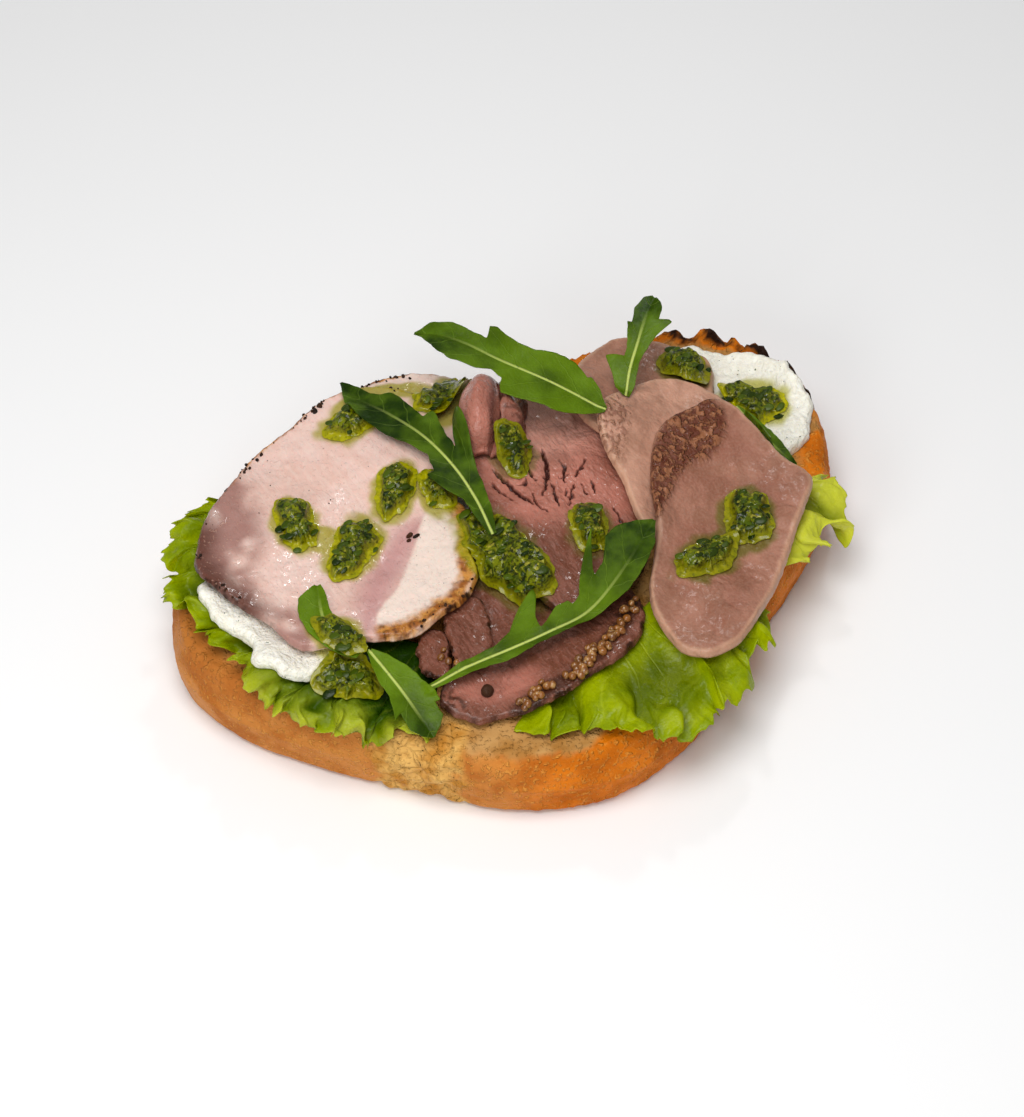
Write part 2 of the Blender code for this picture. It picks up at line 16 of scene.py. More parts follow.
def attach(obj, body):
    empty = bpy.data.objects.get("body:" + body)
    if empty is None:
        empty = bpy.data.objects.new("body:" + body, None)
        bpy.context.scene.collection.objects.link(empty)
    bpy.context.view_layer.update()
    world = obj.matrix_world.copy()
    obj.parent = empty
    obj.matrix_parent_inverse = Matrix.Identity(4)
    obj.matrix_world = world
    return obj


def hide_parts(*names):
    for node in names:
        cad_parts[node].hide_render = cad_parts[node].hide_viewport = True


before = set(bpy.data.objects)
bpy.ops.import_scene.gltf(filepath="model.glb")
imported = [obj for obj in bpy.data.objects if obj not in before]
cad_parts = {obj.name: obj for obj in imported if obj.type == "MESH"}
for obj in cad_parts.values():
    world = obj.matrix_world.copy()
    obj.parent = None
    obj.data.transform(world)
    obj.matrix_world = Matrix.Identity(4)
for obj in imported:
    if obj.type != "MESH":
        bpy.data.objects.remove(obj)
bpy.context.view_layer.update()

bl_info = {
    "name": "Open sandwich",
    "version": (1, 0, 0),
    "blender": (4, 5, 0),
    "location": "3D Viewport > Sidebar > Sandwich",
    "description": "Builds an open sandwich of sliced meats, rocket and pesto on hearth bread",
    "category": "Add Mesh",
}

MM = 0.001
SHIFT = (0.0, -2.1)
GRID_X = 125                # half sizes of the grid of heights, in cells of 1 mm
GRID_Y = 95
GAP = 0.15                  # clear space under a piece
ON_WALL = 0.9999            # radius from which a vertex of a unit disc is on its side wall
BREAD_THICK = 25.0
LIP_HEIGHT = 3.6
CHEESE_THICK = 3.6
LETTUCE_THICK = 0.7
LETTUCE_LOFT = 3.0
ROCKET_THICK = 0.5
OIL_DEPTH = 0.5             # how deep the oil stands round a dollop of pesto

BREAD_LOOP = [
    (-102, 31), (-101, 10), (-88, -12), (-71, -32), (-46, -57), (-18, -69), (12, -64), (42, -46),
    (75, -28), (95.5, -8), (103.5, 14), (99, 38), (84, 54), (55, 62), (18, 68), (-22, 72), (-60, 69), (-89, 54)]

# inset of the side wall from the outline, and height
BREAD_WALL = [(3.0, 0), (0.8, 1.8), (0, 6), (-1.2, 13), (0, 20), (1.6, 23.6), (3.6, BREAD_THICK)]

CHEESE_LOOP = [
    (-93, 33), (-93, 21), (-89, 10), (-91, 1), (-82, -8), (-73, -7), (-50, 0), (0, -4), (50, 0), (80, -5),
    (94, 0), (101, 9), (101, 24), (93, 38), (80, 50), (50, 52), (0, 48), (-50, 42), (-80, 40)]

LETTUCES = {
    # outer edge, inner edge, frill height, ruffle length, droop over the crust, phase
    "lettuce_leaf_left": (
        [(-62, 68), (-80, 64), (-94, 52), (-99, 38), (-98, 25), (-94, 12), (-95, -2), (-92, -14), (-84, -25),
         (-74, -34), (-62, -41)],
        [(-40, 40), (-55, 40), (-62, 34), (-66, 28), (-66, 22), (-64, 14), (-62, 8), (-58, 2), (-53, -4),
         (-48, -10), (-42, -16)], 3.2, 15, 0.6, 0.4),
    "lettuce_leaf_right": (
        [(-37, -50), (-29, -57), (-20, -65), (-8, -70), (6, -73), (19, -72), (31, -65), (41, -57), (46, -49)],
        [(-16, -26), (-10, -30), (-4, -34), (2, -34), (9, -34), (16, -32), (22, -30), (27, -27), (32, -24)],
        3.4, 22, 0.5, 1.9),
    "lettuce_leaf_end": (
        [(54, -42), (62, -41), (70, -40), (78, -38), (84, -32), (87, -25), (86, -18)],
        [(50, -22), (56, -20), (61, -17), (65, -13), (69, -10), (73, -7), (76, -4)], 2.6, 17, 0.5, 0.9),
}

SLICES = {
    # outline, kind of meat, thickness, evenness, curl (x, y, reach, height), raggedness of the rim
    "beef_slice_front": (
        [(-52, -32), (-51, -38), (-47, -43), (-42, -45), (-34, -48), (-24, -49), (-12, -48), (-1, -46),
         (7, -42), (12, -35), (14, -25), (12, -14), (6, -2), (-10, 8), (-26, 4), (-36, -12), (-44, -24)],
        "beef", 3.2, 160, (-50, -30, 15, 1), 0.9),
    "beef_end_left": (
        [(-50, -16), (-45, -11), (-40, -14), (-43, -22), (-48, -28), (-52, -23)],
        "beef", 2.6, 60, (-45, -12, 8, 1), 1.2),
    "beef_end_right": (
        [(-33, -6), (-26, -9), (-28, -18), (-34, -28), (-41, -30), (-43, -24), (-39, -12)],
        "beef", 2.6, 60, (-33, -15, 10, 1), 1.2),
    "pork_slice_back": (
        [(-34, 71), (-25, 77), (-16, 79), (-6, 78), (5, 74), (13, 66), (15, 52), (8, 38), (-10, 34),
         (-30, 44), (-40, 60)], "pork", 3.6, 260, (-8, 76, 30, 5), 0.5),
    "pork_slice_front": (
        [(-91, 35), (-89, 42), (-80, 53), (-68, 62), (-55, 70), (-42, 73), (-28, 76), (-14, 73), (-4, 62),
         (-6, 44), (-14, 28), (-13, 18), (-20, 7), (-23, -3), (-31, -10), (-41, -12), (-49, -13), (-56, -10),
         (-67, -5), (-79, -2), (-83, 12), (-88, 23)], "pork", 3.6, 300, (-48, 72, 36, 3), 0.6),
    "beef_slice_fan": (
        [(19, 51), (31, 47), (36, 32), (34.5, 16), (32.5, 4), (28.5, -8), (21, -22), (2, -30), (-10, -24),
         (-11, -7), (-9, 8), (-9, 20), (-5, 31), (6, 45)], "beef_grain", 3.2, 240, (12, 12, 26, 4), 0.6),
    "tongue_slice_back": (
        [(37, 42), (46, 53), (60, 57), (68, 52), (74, 45), (80, 36), (76, 26), (66, 14), (50, 12), (36, 22),
         (33, 34)], "tongue", 3.8, 200, (38, 46, 14, 4), 0.4),
    "tongue_slice_middle": (
        [(30, 4), (32, 19), (37, 28), (47, 32), (56, 33), (65, 30), (71, 22), (73, 14), (66, 0), (50, -16),
         (36, -22), (27, -12)], "tongue", 3.8, 260, (36, 25, 15, 2), 0.4),
    "tongue_slice_front": (
        [(78, -22), (75, -11), (74, 2), (72, 11), (68, 15), (59, 15), (49, 13), (42, 7), (35, -3), (29, -16),
         (22, -25), (17, -31), (13, -39), (12, -48), (13, -55), (18, -60), (27, -60), (36, -56), (48, -48),
         (59, -39), (70, -30)], "tongue", 3.8, 260, (76, -18, 22, 3), 0.4),
}

FOLD_RIDGE = [(-1, 31), (3, 40), (8, 48), (14, 57)]
FOLD_FOOT = [(-9, 30), (-2, 27), (8, 28), (16, 34), (25, 44), (22, 56), (10, 62), (-2, 54)]
FOLD_SECTION = [(-5.5, 0), (-5, 7), (-1, 12), (4, 9.5), (5.6, 4.5), (7.5, 7), (10.5, 7), (13, 4), (14, 0)]

PESTO = {
    # middle, half length, half width, heading, height
    "pesto_dollop_01": ((-59, 37), 9.5, 5.0, 75, 4.2),
    "pesto_dollop_02": ((-49, 23), 11.0, 6.0, 35, 4.6),
    "pesto_dollop_03": ((-28, 63), 7.5, 5.0, -10, 4.4),
    "pesto_dollop_04": ((-28, 35), 9.5, 5.0, 40, 4.6),
    "pesto_dollop_05": ((-18, 28), 5.5, 3.8, 70, 3.8),
    "pesto_dollop_06": ((3, 60), 9.0, 6.0, 30, 5.5),
    "pesto_dollop_07": ((7.5, 27.5), 5.6, 5.0, 60, 3.6),
    "pesto_dollop_08": ((-13.5, -1), 17.0, 8.0, -82, 6.0),
    "pesto_dollop_09": ((12.5, -6.5), 7.5, 5.5, 60, 5.0),
    "pesto_dollop_10": ((54, -25), 8.5, 6.5, 70, 4.8),
    "pesto_dollop_11": ((36, -31), 9.5, 4.8, 0, 4.4),
    "pesto_dollop_12": ((72, 35), 7.5, 5.5, -70, 5.0),
    "pesto_dollop_13": ((84, 16), 9.0, 7.0, -50, 4.5),
    "pesto_dollop_14": ((-70, -14.5), 9.0, 6.0, -20, 3.8),
    "pesto_dollop_15": ((-68, -4), 8.0, 4.5, -70, 3.6),
}

ROCKET_LEAVES = {
    # midrib (x, y, height); left side and right side: (part along, half width, how far the edge
    # leans ahead); how dark the blade is
    "rocket_leaf_1": (
        [(36.5, 24, 45), (27, 38.5, 49), (17, 52, 52), (11, 61, 54), (6, 68, 54), (1, 74, 52)],
        [(0, 0.8, 0), (0.06, 5.5, 1), (0.18, 9.5, 1), (0.30, 10.5, 1), (0.37, 11.5, 2), (0.42, 12, 3),
         (0.46, 9.5, 2), (0.50, 6.5, 0), (0.56, 5, 0), (0.62, 7, 1), (0.72, 8.5, 2), (0.80, 7, 2),
         (0.90, 3.5, 1), (0.96, 1.5, 0), (1, 0.3, 0)],
        [(0, 0.8, 0), (0.05, 5, 1), (0.09, 8, 3), (0.12, 7, 2), (0.20, 10, 2), (0.30, 10, 2), (0.40, 8, 2),
         (0.48, 9, 4), (0.54, 11, 6), (0.60, 10, 5), (0.64, 4.6, 1), (0.72, 5, 1), (0.82, 5.5, 1),
         (0.92, 3.5, 1), (0.97, 1.2, 0), (1, 0.3, 0)], 0.15),
    "rocket_leaf_2": (
        [(46, 28, 41), (51, 34, 45), (56, 38, 50), (62, 43, 54), (67, 46, 57)],
        [(0, 1, 0), (0.10, 3.5, 0), (0.20, 5, 1), (0.28, 8, 3), (0.32, 6, 2), (0.38, 2.4, 0), (0.55, 3.2, 0),
         (0.66, 5, 2), (0.71, 3.4, 0), (0.84, 4, 0), (0.95, 3, 0), (1, 0.6, 0)],
        [(0, 1, 0), (0.15, 2.2, 0), (0.35, 2.4, 0), (0.50, 3.2, 0), (0.62, 5, 1), (0.71, 8, 3), (0.76, 7, 2),
         (0.80, 4, 0), (0.90, 4, 0), (0.97, 2.6, 0), (1, 0.6, 0)], 0.25),
    "rocket_leaf_3": (
        [(-15, 2, 43), (-12.5, 15, 43), (-11.5, 29, 43), (-13, 44, 43), (-17, 58, 42), (-21, 68, 41),
         (-22, 78, 40)],
        [(0, 1.2, 0), (0.10, 2.6, 0), (0.20, 3.8, 0), (0.26, 8, 3), (0.31, 9, 4), (0.36, 6, 1), (0.46, 4, 0),
         (0.55, 6, 1), (0.66, 7.5, 2), (0.76, 7, 2), (0.86, 5, 1), (0.94, 2.5, 0), (1, 0.3, 0)],
        [(0, 1.2, 0), (0.10, 2.6, 0), (0.18, 3.6, 0), (0.23, 5, 6), (0.27, 7.6, 14), (0.30, 8.8, 19),
         (0.33, 7.8, 17), (0.37, 5.5, 8), (0.41, 4.2, 1), (0.49, 5, 1), (0.56, 8, 4), (0.60, 4.5, 1),
         (0.70, 6, 1), (0.76, 6.5, 2), (0.82, 4.5, 0), (0.92, 2.8, 0), (1, 0.3, 0)], 0.75),
    "rocket_leaf_4": (
        [(-54, -30, 34), (-42, -30, 35), (-29, -32, 37), (-17, -33, 38), (-5, -33, 39), (8, -28, 41),
         (27, -17, 43)],
        [(0, 0.9, 0), (0.12, 2, 0), (0.25, 2.6, 0), (0.28, 6, 4), (0.30, 13, 9), (0.325, 15.5, 11),
         (0.35, 13, 9), (0.38, 6, 3), (0.41, 2.2, 0), (0.44, 3, 0), (0.47, 6.5, 2), (0.52, 6.5, 2),
         (0.54, 4, 1), (0.56, 8, 6), (0.58, 16, 15), (0.605, 19, 20), (0.64, 16, 16), (0.66, 10, 8),
         (0.69, 6, 1), (0.75, 6, 1), (0.81, 9.5, 4), (0.88, 8.5, 3), (0.95, 4.5, 1), (1, 0.5, 0)],
        [(0, 0.9, 0), (0.10, 2.2, 0), (0.25, 3.2, 0), (0.40, 2.2, 0), (0.52, 2, 0), (0.60, 3, 0), (0.70, 5, 1),
         (0.80, 5, 1), (0.90, 4, 1), (1, 0.5, 0)], 0.3),
    "rocket_leaf_5": (
        [(-65, -11, 36), (-68, -6, 37), (-69, 3, 38), (-65, 14, 39)],
        [(0, 3, 0), (0.3, 5, 0), (0.6, 6.5, 1), (0.8, 6, 1), (0.93, 3.5, 0), (1, 0.8, 0)],
        [(0, 3, 0), (0.3, 3.6, 0), (0.5, 3, 0), (0.7, 2.4, 1), (0.9, 1.8, 0), (1, 0.8, 0)], 0.0),
    "rocket_leaf_6": (
        [(-63, -12, 36), (-62, -20, 35), (-61, -29, 33), (-60, -42, 29)],
        [(0, 0.8, 0), (0.12, 3.5, 0), (0.30, 5.5, 1), (0.50, 6.5, 1), (0.66, 7.4, 3), (0.71, 5.8, 1),
         (0.85, 5.5, 1), (0.95, 3.5, 0), (1, 0.6, 0)],
        [(0, 0.8, 0), (0.15, 2.5, 0), (0.35, 4, 0), (0.50, 4.3, 0), (0.62, 7, 3), (0.67, 4.2, 0),
         (0.85, 4.6, 0), (0.95, 3, 0), (1, 0.6, 0)], 0.1),
    "rocket_leaf_7": (
        [(76, 14, 34), (77, 2, 33), (79, -13, 32)],
        [(0, 0.8, 0), (0.2, 2.4, 0), (0.5, 3, 0), (0.8, 2, 0), (1, 0.6, 0)],
        [(0, 0.8, 0), (0.2, 2, 0), (0.5, 2.2, 0), (0.62, 3.2, 2), (0.66, 1.6, 0), (1, 0.6, 0)], 0.4),
}


# ---------------------------------------------------------------- numbers and curves

def rgb(code):
    """Linear colour of an sRGB hex code."""
    parts = [int(code[i:i + 2], 16) / 255 for i in (1, 3, 5)]
    return (*[c / 12.92 if c <= 0.04045 else ((c + 0.055) / 1.055) ** 2.4 for c in parts], 1.0)


def catmull(p0, p1, p2, p3):
    """Points on the smooth curve from p1 up to p2."""
    t = np.linspace(0, 1, 24, endpoint=False)[:, None]
    return 0.5 * (2 * p1 + (p2 - p0) * t + (2 * p0 - 5 * p1 + 4 * p2 - p3) * t ** 2
                  + (3 * p1 - p0 - 3 * p2 + p3) * t ** 3)


def evenly(curve, count, closed):
    """The same curve with `count` points at equal distances along it."""
    if closed:
        curve = np.vstack([curve, curve[:1]])
    along = np.concatenate([[0], np.cumsum(np.linalg.norm(np.diff(curve, axis=0), axis=1))])
    at = np.linspace(0, along[-1], count, endpoint=not closed)
    return np.stack([np.interp(at, along, curve[:, k]) for k in range(curve.shape[1])], axis=1)


def smooth_loop(points, count=360):
    """Closed smooth curve through the given points, run counter-clockwise."""
    pts = np.array(points, float)
    ahead = np.roll(pts, -1, 0)
    if (pts[:, 0] * ahead[:, 1] - ahead[:, 0] * pts[:, 1]).sum() < 0:
        pts = pts[::-1]
    size = len(pts)
    dense = [catmull(pts[i - 1], pts[i], pts[(i + 1) % size], pts[(i + 2) % size]) for i in range(size)]
    return evenly(np.vstack(dense), count, closed=True)


def smooth_path(points, count):
    """Open smooth curve through the given points."""
    pts = np.array(points, float)
    ends = np.vstack([2 * pts[0] - pts[1], pts, 2 * pts[-1] - pts[-2]])
    dense = [catmull(*ends[i:i + 4]) for i in range(len(pts) - 1)]
    return evenly(np.vstack([*dense, pts[-1]]), count, closed=False)


def oval(middle, half_length, half_width, heading):
    """Closed ellipse whose long axis points along `heading` degrees."""
    turn = math.radians(heading)
    a = np.linspace(0, math.tau, 48, endpoint=False)
    long, wide = half_length * np.cos(a), half_width * np.sin(a)
    return np.stack([middle[0] + long * math.cos(turn) - wide * math.sin(turn),
                     middle[1] + long * math.sin(turn) + wide * math.cos(turn)], axis=1)


def at_turn(loop, turn):
    """Points of an evenly spaced closed outline at turns of 0 to 1."""
    closed = np.vstack([loop, loop[:1]])
    place = np.asarray(turn) * len(loop)
    return np.stack([np.interp(place, np.arange(len(closed)), closed[:, k]) for k in (0, 1)], axis=1)


def spokes(loop, turn):
    """Middle of an outline, and at each turn its edge, how far that is and which way."""
    middle = loop.mean(0)
    edge = at_turn(loop, turn)
    reach = np.linalg.norm(edge - middle, axis=1)
    return middle, edge, reach, (edge - middle) / reach[:, None]


def at_part(path, part):
    """Points of an evenly spaced open path at parts of 0 to 1."""
    place = np.asarray(part) * (len(path) - 1)
    return np.stack([np.interp(place, np.arange(len(path)), path[:, k]) for k in range(path.shape[1])], axis=1)


def profile(points, part, column):
    """One column of a table at parts of 0 to 1, with its corners rounded."""
    table = np.array(points, float)
    grid = np.linspace(-0.05, 1.05, 441)
    values = np.interp(grid, table[:, 0], table[:, column])
    soft = bell(np.arange(-6, 7), 0, 3)
    return np.interp(part, grid[6:-6], np.convolve(values, soft / soft.sum(), "valid"))


def bell(x, middle, spread):
    """Smooth bump of height one."""
    return np.exp(-((x - middle) / spread) ** 2)


def ease(x, low, high):
    """Smooth step from 0 at `low` to 1 at `high`."""
    t = np.clip((x - low) / (high - low), 0, 1)
    return t * t * (3 - 2 * t)


def in_space(points):
    """Points of one or two coordinates, with zeros for those that are left out."""
    points = np.asarray(points, float).reshape(len(points), -1)
    return np.pad(points, ((0, 0), (0, 3 - points.shape[1])))


def lumps(points, size, seed=0.0, detail=1):
    """Smooth random relief between about -1 and 1, with lumps of the given size in mm."""
    points = in_space(points)
    total = np.zeros(len(points))
    for octave in range(detail):
        scaled = (points / size * 2 ** octave + 7.31 * seed + 31.7 * octave).tolist()
        total += np.array([noise.noise(p) for p in scaled]) / 2 ** octave
    return total


def cells(points, size, seed=0.0):
    """Distance in mm from the nearest of many random points about `size` mm apart."""
    scaled = (in_space(points) / size + 7.31 * seed).tolist()
    return np.array([noise.voronoi(p)[0][0] for p in scaled]) * size


def inside(loop, x, y):
    """Which points lie inside a closed outline."""
    within = np.zeros(np.shape(x), bool)
    for (x0, y0), (x1, y1) in zip(loop, np.roll(loop, -1, axis=0)):
        if y0 != y1:
            crossing = (y0 > y) != (y1 > y)
            within ^= crossing & (x < (x1 - x0) * (y - y0) / (y1 - y0) + x0)
    return within


def path_distance(path, plan):
    """Distance of points from an open path."""
    near = np.full(len(plan), 1e9)
    for a, b in zip(path[:-1], path[1:]):
        span = b - a
        t = np.clip(((plan - a) @ span) / max(span @ span, 1e-9), 0, 1)
        near = np.minimum(near, np.linalg.norm(plan - (a + t[:, None] * span), axis=1))
    return near


def rim_distance(loop, plan):
    """Distance of points from a closed outline, on either side of it."""
    return path_distance(np.vstack([loop, loop[:1]]), plan)


def blob(loop, plan, soft):
    """Soft mask that is one inside an outline and falls to zero `soft` mm outside it."""
    loop = smooth_loop(loop, 120)
    away = rim_distance(loop, plan)
    signed = np.where(inside(loop, plan[:, 0], plan[:, 1]), -away, away)
    return 1 - ease(signed, -soft, soft)


# ---------------------------------------------------------------- the pile

def blurred(field, times=1):
    """Smooth a grid over its neighbouring cells."""
    for _ in range(times):
        for axis in (0, 1):
            field = (np.roll(field, 1, axis) + 2 * field + np.roll(field, -1, axis)) / 4
    return field


class Pile:
    """Height of everything laid so far, seen from above on a 1 mm grid."""

    def __init__(self):
        x, y = np.arange(-GRID_X, GRID_X + 1.0), np.arange(-GRID_Y, GRID_Y + 1.0)
        self.x, self.y = np.meshgrid(x, y, indexing="ij")
        self.clear()

    def clear(self):
        """Start again with nothing laid."""
        self.top = np.zeros(self.x.shape)
        self.owner = np.full(self.x.shape, "", dtype="<U30")

    def add(self, name, points):
        """Raise the grid to a finished piece, and note where that piece is the uppermost."""
        i, j = (np.round(points[:, :2]).astype(int) + (GRID_X, GRID_Y)).T
        np.maximum.at(self.top, (i, j), points[:, 2])
        highest = points[:, 2] > self.top[i, j] - 1e-9
        self.owner[i[highest], j[highest]] = name

    def uppermost(self, x, y):
        """Name of the piece seen from above at a place."""
        return self.owner[round(x) + GRID_X, round(y) + GRID_Y]

    def shows(self, name, x, y):
        """Whether a piece is the uppermost at a place."""
        return self.uppermost(x, y) == name

    def floor(self):
        """The heights a new piece must clear, one cell wider than the pile."""
        wide = self.top.copy()
        for axis in (0, 1):
            wide = np.maximum(wide, np.maximum(np.roll(wide, 1, axis), np.roll(wide, -1, axis)))
        return wide + GAP

    def rest(self, loop, evenness):
        """Surface on which a soft slice with this outline comes to lie."""
        within = blurred(inside(loop, self.x, self.y).astype(float), 4) > 0.01
        floor = self.floor()
        held = within & (floor > BREAD_THICK)
        known = held.astype(float)
        height = np.where(held, floor, 0.0)
        while (within & (known == 0)).any():
            spread = blurred(known)
            reached = (spread > 0) & (known == 0)
            height = np.where(reached, blurred(height) / spread.clip(1e-9), height)
            known[reached] = 1.0
        mask = within.astype(float)
        share = blurred(mask).clip(1e-9)
        for _ in range(evenness):
            height = blurred(height * mask) / share
            height = np.where(held, np.maximum(height, floor), height)
        for _ in range(5):
            height = blurred(height * mask) / share
        return height


def sample(field, plan):
    """Heights between the cells of a grid."""
    i = np.clip(plan[:, 0] + GRID_X, 0, 2 * GRID_X - 0.001)
    j = np.clip(plan[:, 1] + GRID_Y, 0, 2 * GRID_Y - 0.001)
    a, b = i.astype(int), j.astype(int)
    u, v = i - a, j - b
    return ((1 - u) * (1 - v) * field[a, b] + u * (1 - v) * field[a + 1, b]
            + (1 - u) * v * field[a, b + 1] + u * v * field[a + 1, b + 1])


PILE = Pile()


# ---------------------------------------------------------------- meshes

def read_points(mesh):
    """Places of a mesh's vertices."""
    flat = np.empty(len(mesh.vertices) * 3)
    mesh.vertices.foreach_get("co", flat)
    return flat.reshape(-1, 3)


def disc(around, rings, walls=4, under=6, crowd=1.25):
    """Closed unit disc: its mesh, with each vertex's radius, turn and level (0 under, 1 on top).

    The rings are closer together towards the rim.
    """
    tops = [1 - (1 - k / rings) ** crowd for k in range(rings + 1)]
    spoke = [(k / under, 0) for k in range(under)]
    spoke += [(1, k / walls) for k in range(walls)]
    spoke += [(r, 1) for r in reversed(tops)]
    bm = bmesh.new()
    verts = [bm.verts.new((radius, 0, level)) for radius, level in spoke]
    edges = [bm.edges.new(pair) for pair in zip(verts, verts[1:])]
    steps = around // 4
    bmesh.ops.spin(bm, geom=verts + edges, cent=(0, 0, 0), axis=(0, 0, 1), angle=math.tau,
                   steps=steps, use_merge=True)
    on_axis = [vert for vert in bm.verts if vert.co.xy.length < 1e-6]
    bmesh.ops.remove_doubles(bm, verts=on_axis, dist=1e-4)
    ends = [[(vert.co.xy.length, vert.co.z) for vert in edge.verts] for edge in bm.edges]
    rounds = [edge for edge, (a, b) in zip(bm.edges, ends) if math.dist(a, b) < 1e-5]
    bmesh.ops.subdivide_edges(bm, edges=rounds, cuts=3)
    bmesh.ops.recalc_face_normals(bm, faces=bm.faces)
    mesh = as_mesh(bm)
    x, y, level = read_points(mesh).T
    turn = (np.arctan2(y, x) / math.tau) % 1.0
    from_middle = ((turn * steps) % 1 - 0.5) * math.tau / steps
    bulge = np.cos(from_middle) / math.cos(math.pi / steps)
    return mesh, np.hypot(x, y) * bulge, turn, level


def slab(along, across):
    """Closed unit sheet: its mesh, with each vertex's part along, part across and level."""
    bm = bmesh.new()
    bmesh.ops.create_grid(bm, x_segments=along, y_segments=across, size=0.5,
                          matrix=Matrix.Translation((0.5, 0.5, 0)))
    made = bmesh.ops.extrude_face_region(bm, geom=bm.faces[:], use_keep_orig=True)["geom"]
    bmesh.ops.translate(bm, verts=[v for v in made if isinstance(v, bmesh.types.BMVert)], vec=(0, 0, 1))
    bmesh.ops.recalc_face_normals(bm, faces=bm.faces)
    mesh = as_mesh(bm)
    u, v, level = read_points(mesh).T
    return mesh, u, v, level


def as_mesh(bm):
    """The mesh of a finished bmesh, which is freed."""
    mesh = bpy.data.meshes.new("piece")
    bm.to_mesh(mesh)
    bm.free()
    return mesh


def finish_piece(name, mesh, points, material, slot, replaced=(), **attributes):
    """Put a mesh where its points say, in mm, and hand it to the frame."""
    placed = (np.asarray(points) + (*SHIFT, 0)) * MM
    mesh.vertices.foreach_set("co", placed.ravel())
    mesh.name = name
    for key, values in attributes.items():
        layer = mesh.attributes.new(key, "FLOAT", "POINT")
        layer.data.foreach_set("value", (np.zeros(len(placed)) + values).astype(np.float32))
    mesh.materials.append(material)
    mesh.shade_smooth()
    mesh.update()
    ob = bpy.data.objects.new(name, mesh)
    bpy.context.scene.collection.objects.link(ob)
    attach(ob, "root")
    if replaced:
        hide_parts(*replaced)
    return ob


# ---------------------------------------------------------------- materials

def add(tree, kind, inputs=(), **settings):
    """Add a shader node: an input gets a value, or a link where a socket is given."""
    node = tree.nodes.new("ShaderNode" + kind)
    for name, value in settings.items():
        setattr(node, name, value)
    for key, value in dict(inputs).items():
        if isinstance(value, bpy.types.NodeSocket):
            tree.links.new(value, node.inputs[key])
        else:
            node.inputs[key].default_value = value
    return node


def start_material(name, roughness, masks=(), **sockets):
    """A material with its shader, object coordinates in mm, and the masks that its piece carries."""
    mat = bpy.data.materials.new(name)
    mat.use_nodes = True
    tree = mat.node_tree
    shader = tree.nodes["Principled BSDF"]
    shader.inputs["Roughness"].default_value = roughness
    for key, value in sockets.items():
        shader.inputs[key.replace("_", " ")].default_value = value
    place = add(tree, "TexCoord").outputs["Object"]
    mm = add(tree, "VectorMath", {0: place, "Scale": 1 / MM}, operation="SCALE").outputs[0]
    carried = [add(tree, "Attribute", attribute_name=key).outputs["Fac"] for key in masks]
    return mat, tree, shader, mm, *carried


def pattern(tree, mm, size, detail=2.0, low=0.0, high=1.0, stretch=(1, 1, 1), warp=0.0):
    """Random pattern with features of `size` mm, spread from `low` to `high` of its range."""
    where = add(tree, "Mapping", {"Vector": mm, "Scale": [1 / (size * s) for s in stretch]}).outputs[0]
    settings = {"Vector": where, "Scale": 1.0, "Detail": detail, "Distortion": warp}
    fac = add(tree, "TexNoise", settings).outputs[0]
    return add(tree, "MapRange", {0: fac, 1: low, 2: high}, interpolation_type="SMOOTHSTEP").outputs[0]


def overlap(tree, masks):
    """Where several masks meet, as one mask."""
    mask = masks[0]
    for other in masks[1:]:
        mask = add(tree, "Math", {0: mask, 1: other}, operation="MULTIPLY").outputs[0]
    return mask


def coats(tree, base, *layers):
    """Paint layers over a base colour: each is a colour and the masks that it shows through."""
    color = base
    for over, *masks in layers:
        color = add(tree, "Mix", {0: overlap(tree, masks), 6: color, 7: over}, data_type="RGBA").outputs[2]
    return color


def relief(tree, shader, *heights):
    """Roughen a surface: each layer is a depth in mm and the masks that give its height."""
    normal = None
    for depth, *masks in heights:
        inputs = {"Height": overlap(tree, masks), "Distance": depth * MM, "Strength": 1.0}
        if normal is not None:
            inputs["Normal"] = normal
        normal = add(tree, "Bump", inputs).outputs[0]
    tree.links.new(normal, shader.inputs["Normal"])


def paint(tree, shader, color, worn=None, low=0.0, high=1.0):
    """Give the shader its colour, and a roughness that runs from `low` to `high` with a mask."""
    tree.links.new(color, shader.inputs["Base Color"])
    if worn is not None:
        rough = add(tree, "MapRange", {0: worn, 3: low, 4: high}).outputs[0]
        tree.links.new(rough, shader.inputs["Roughness"])


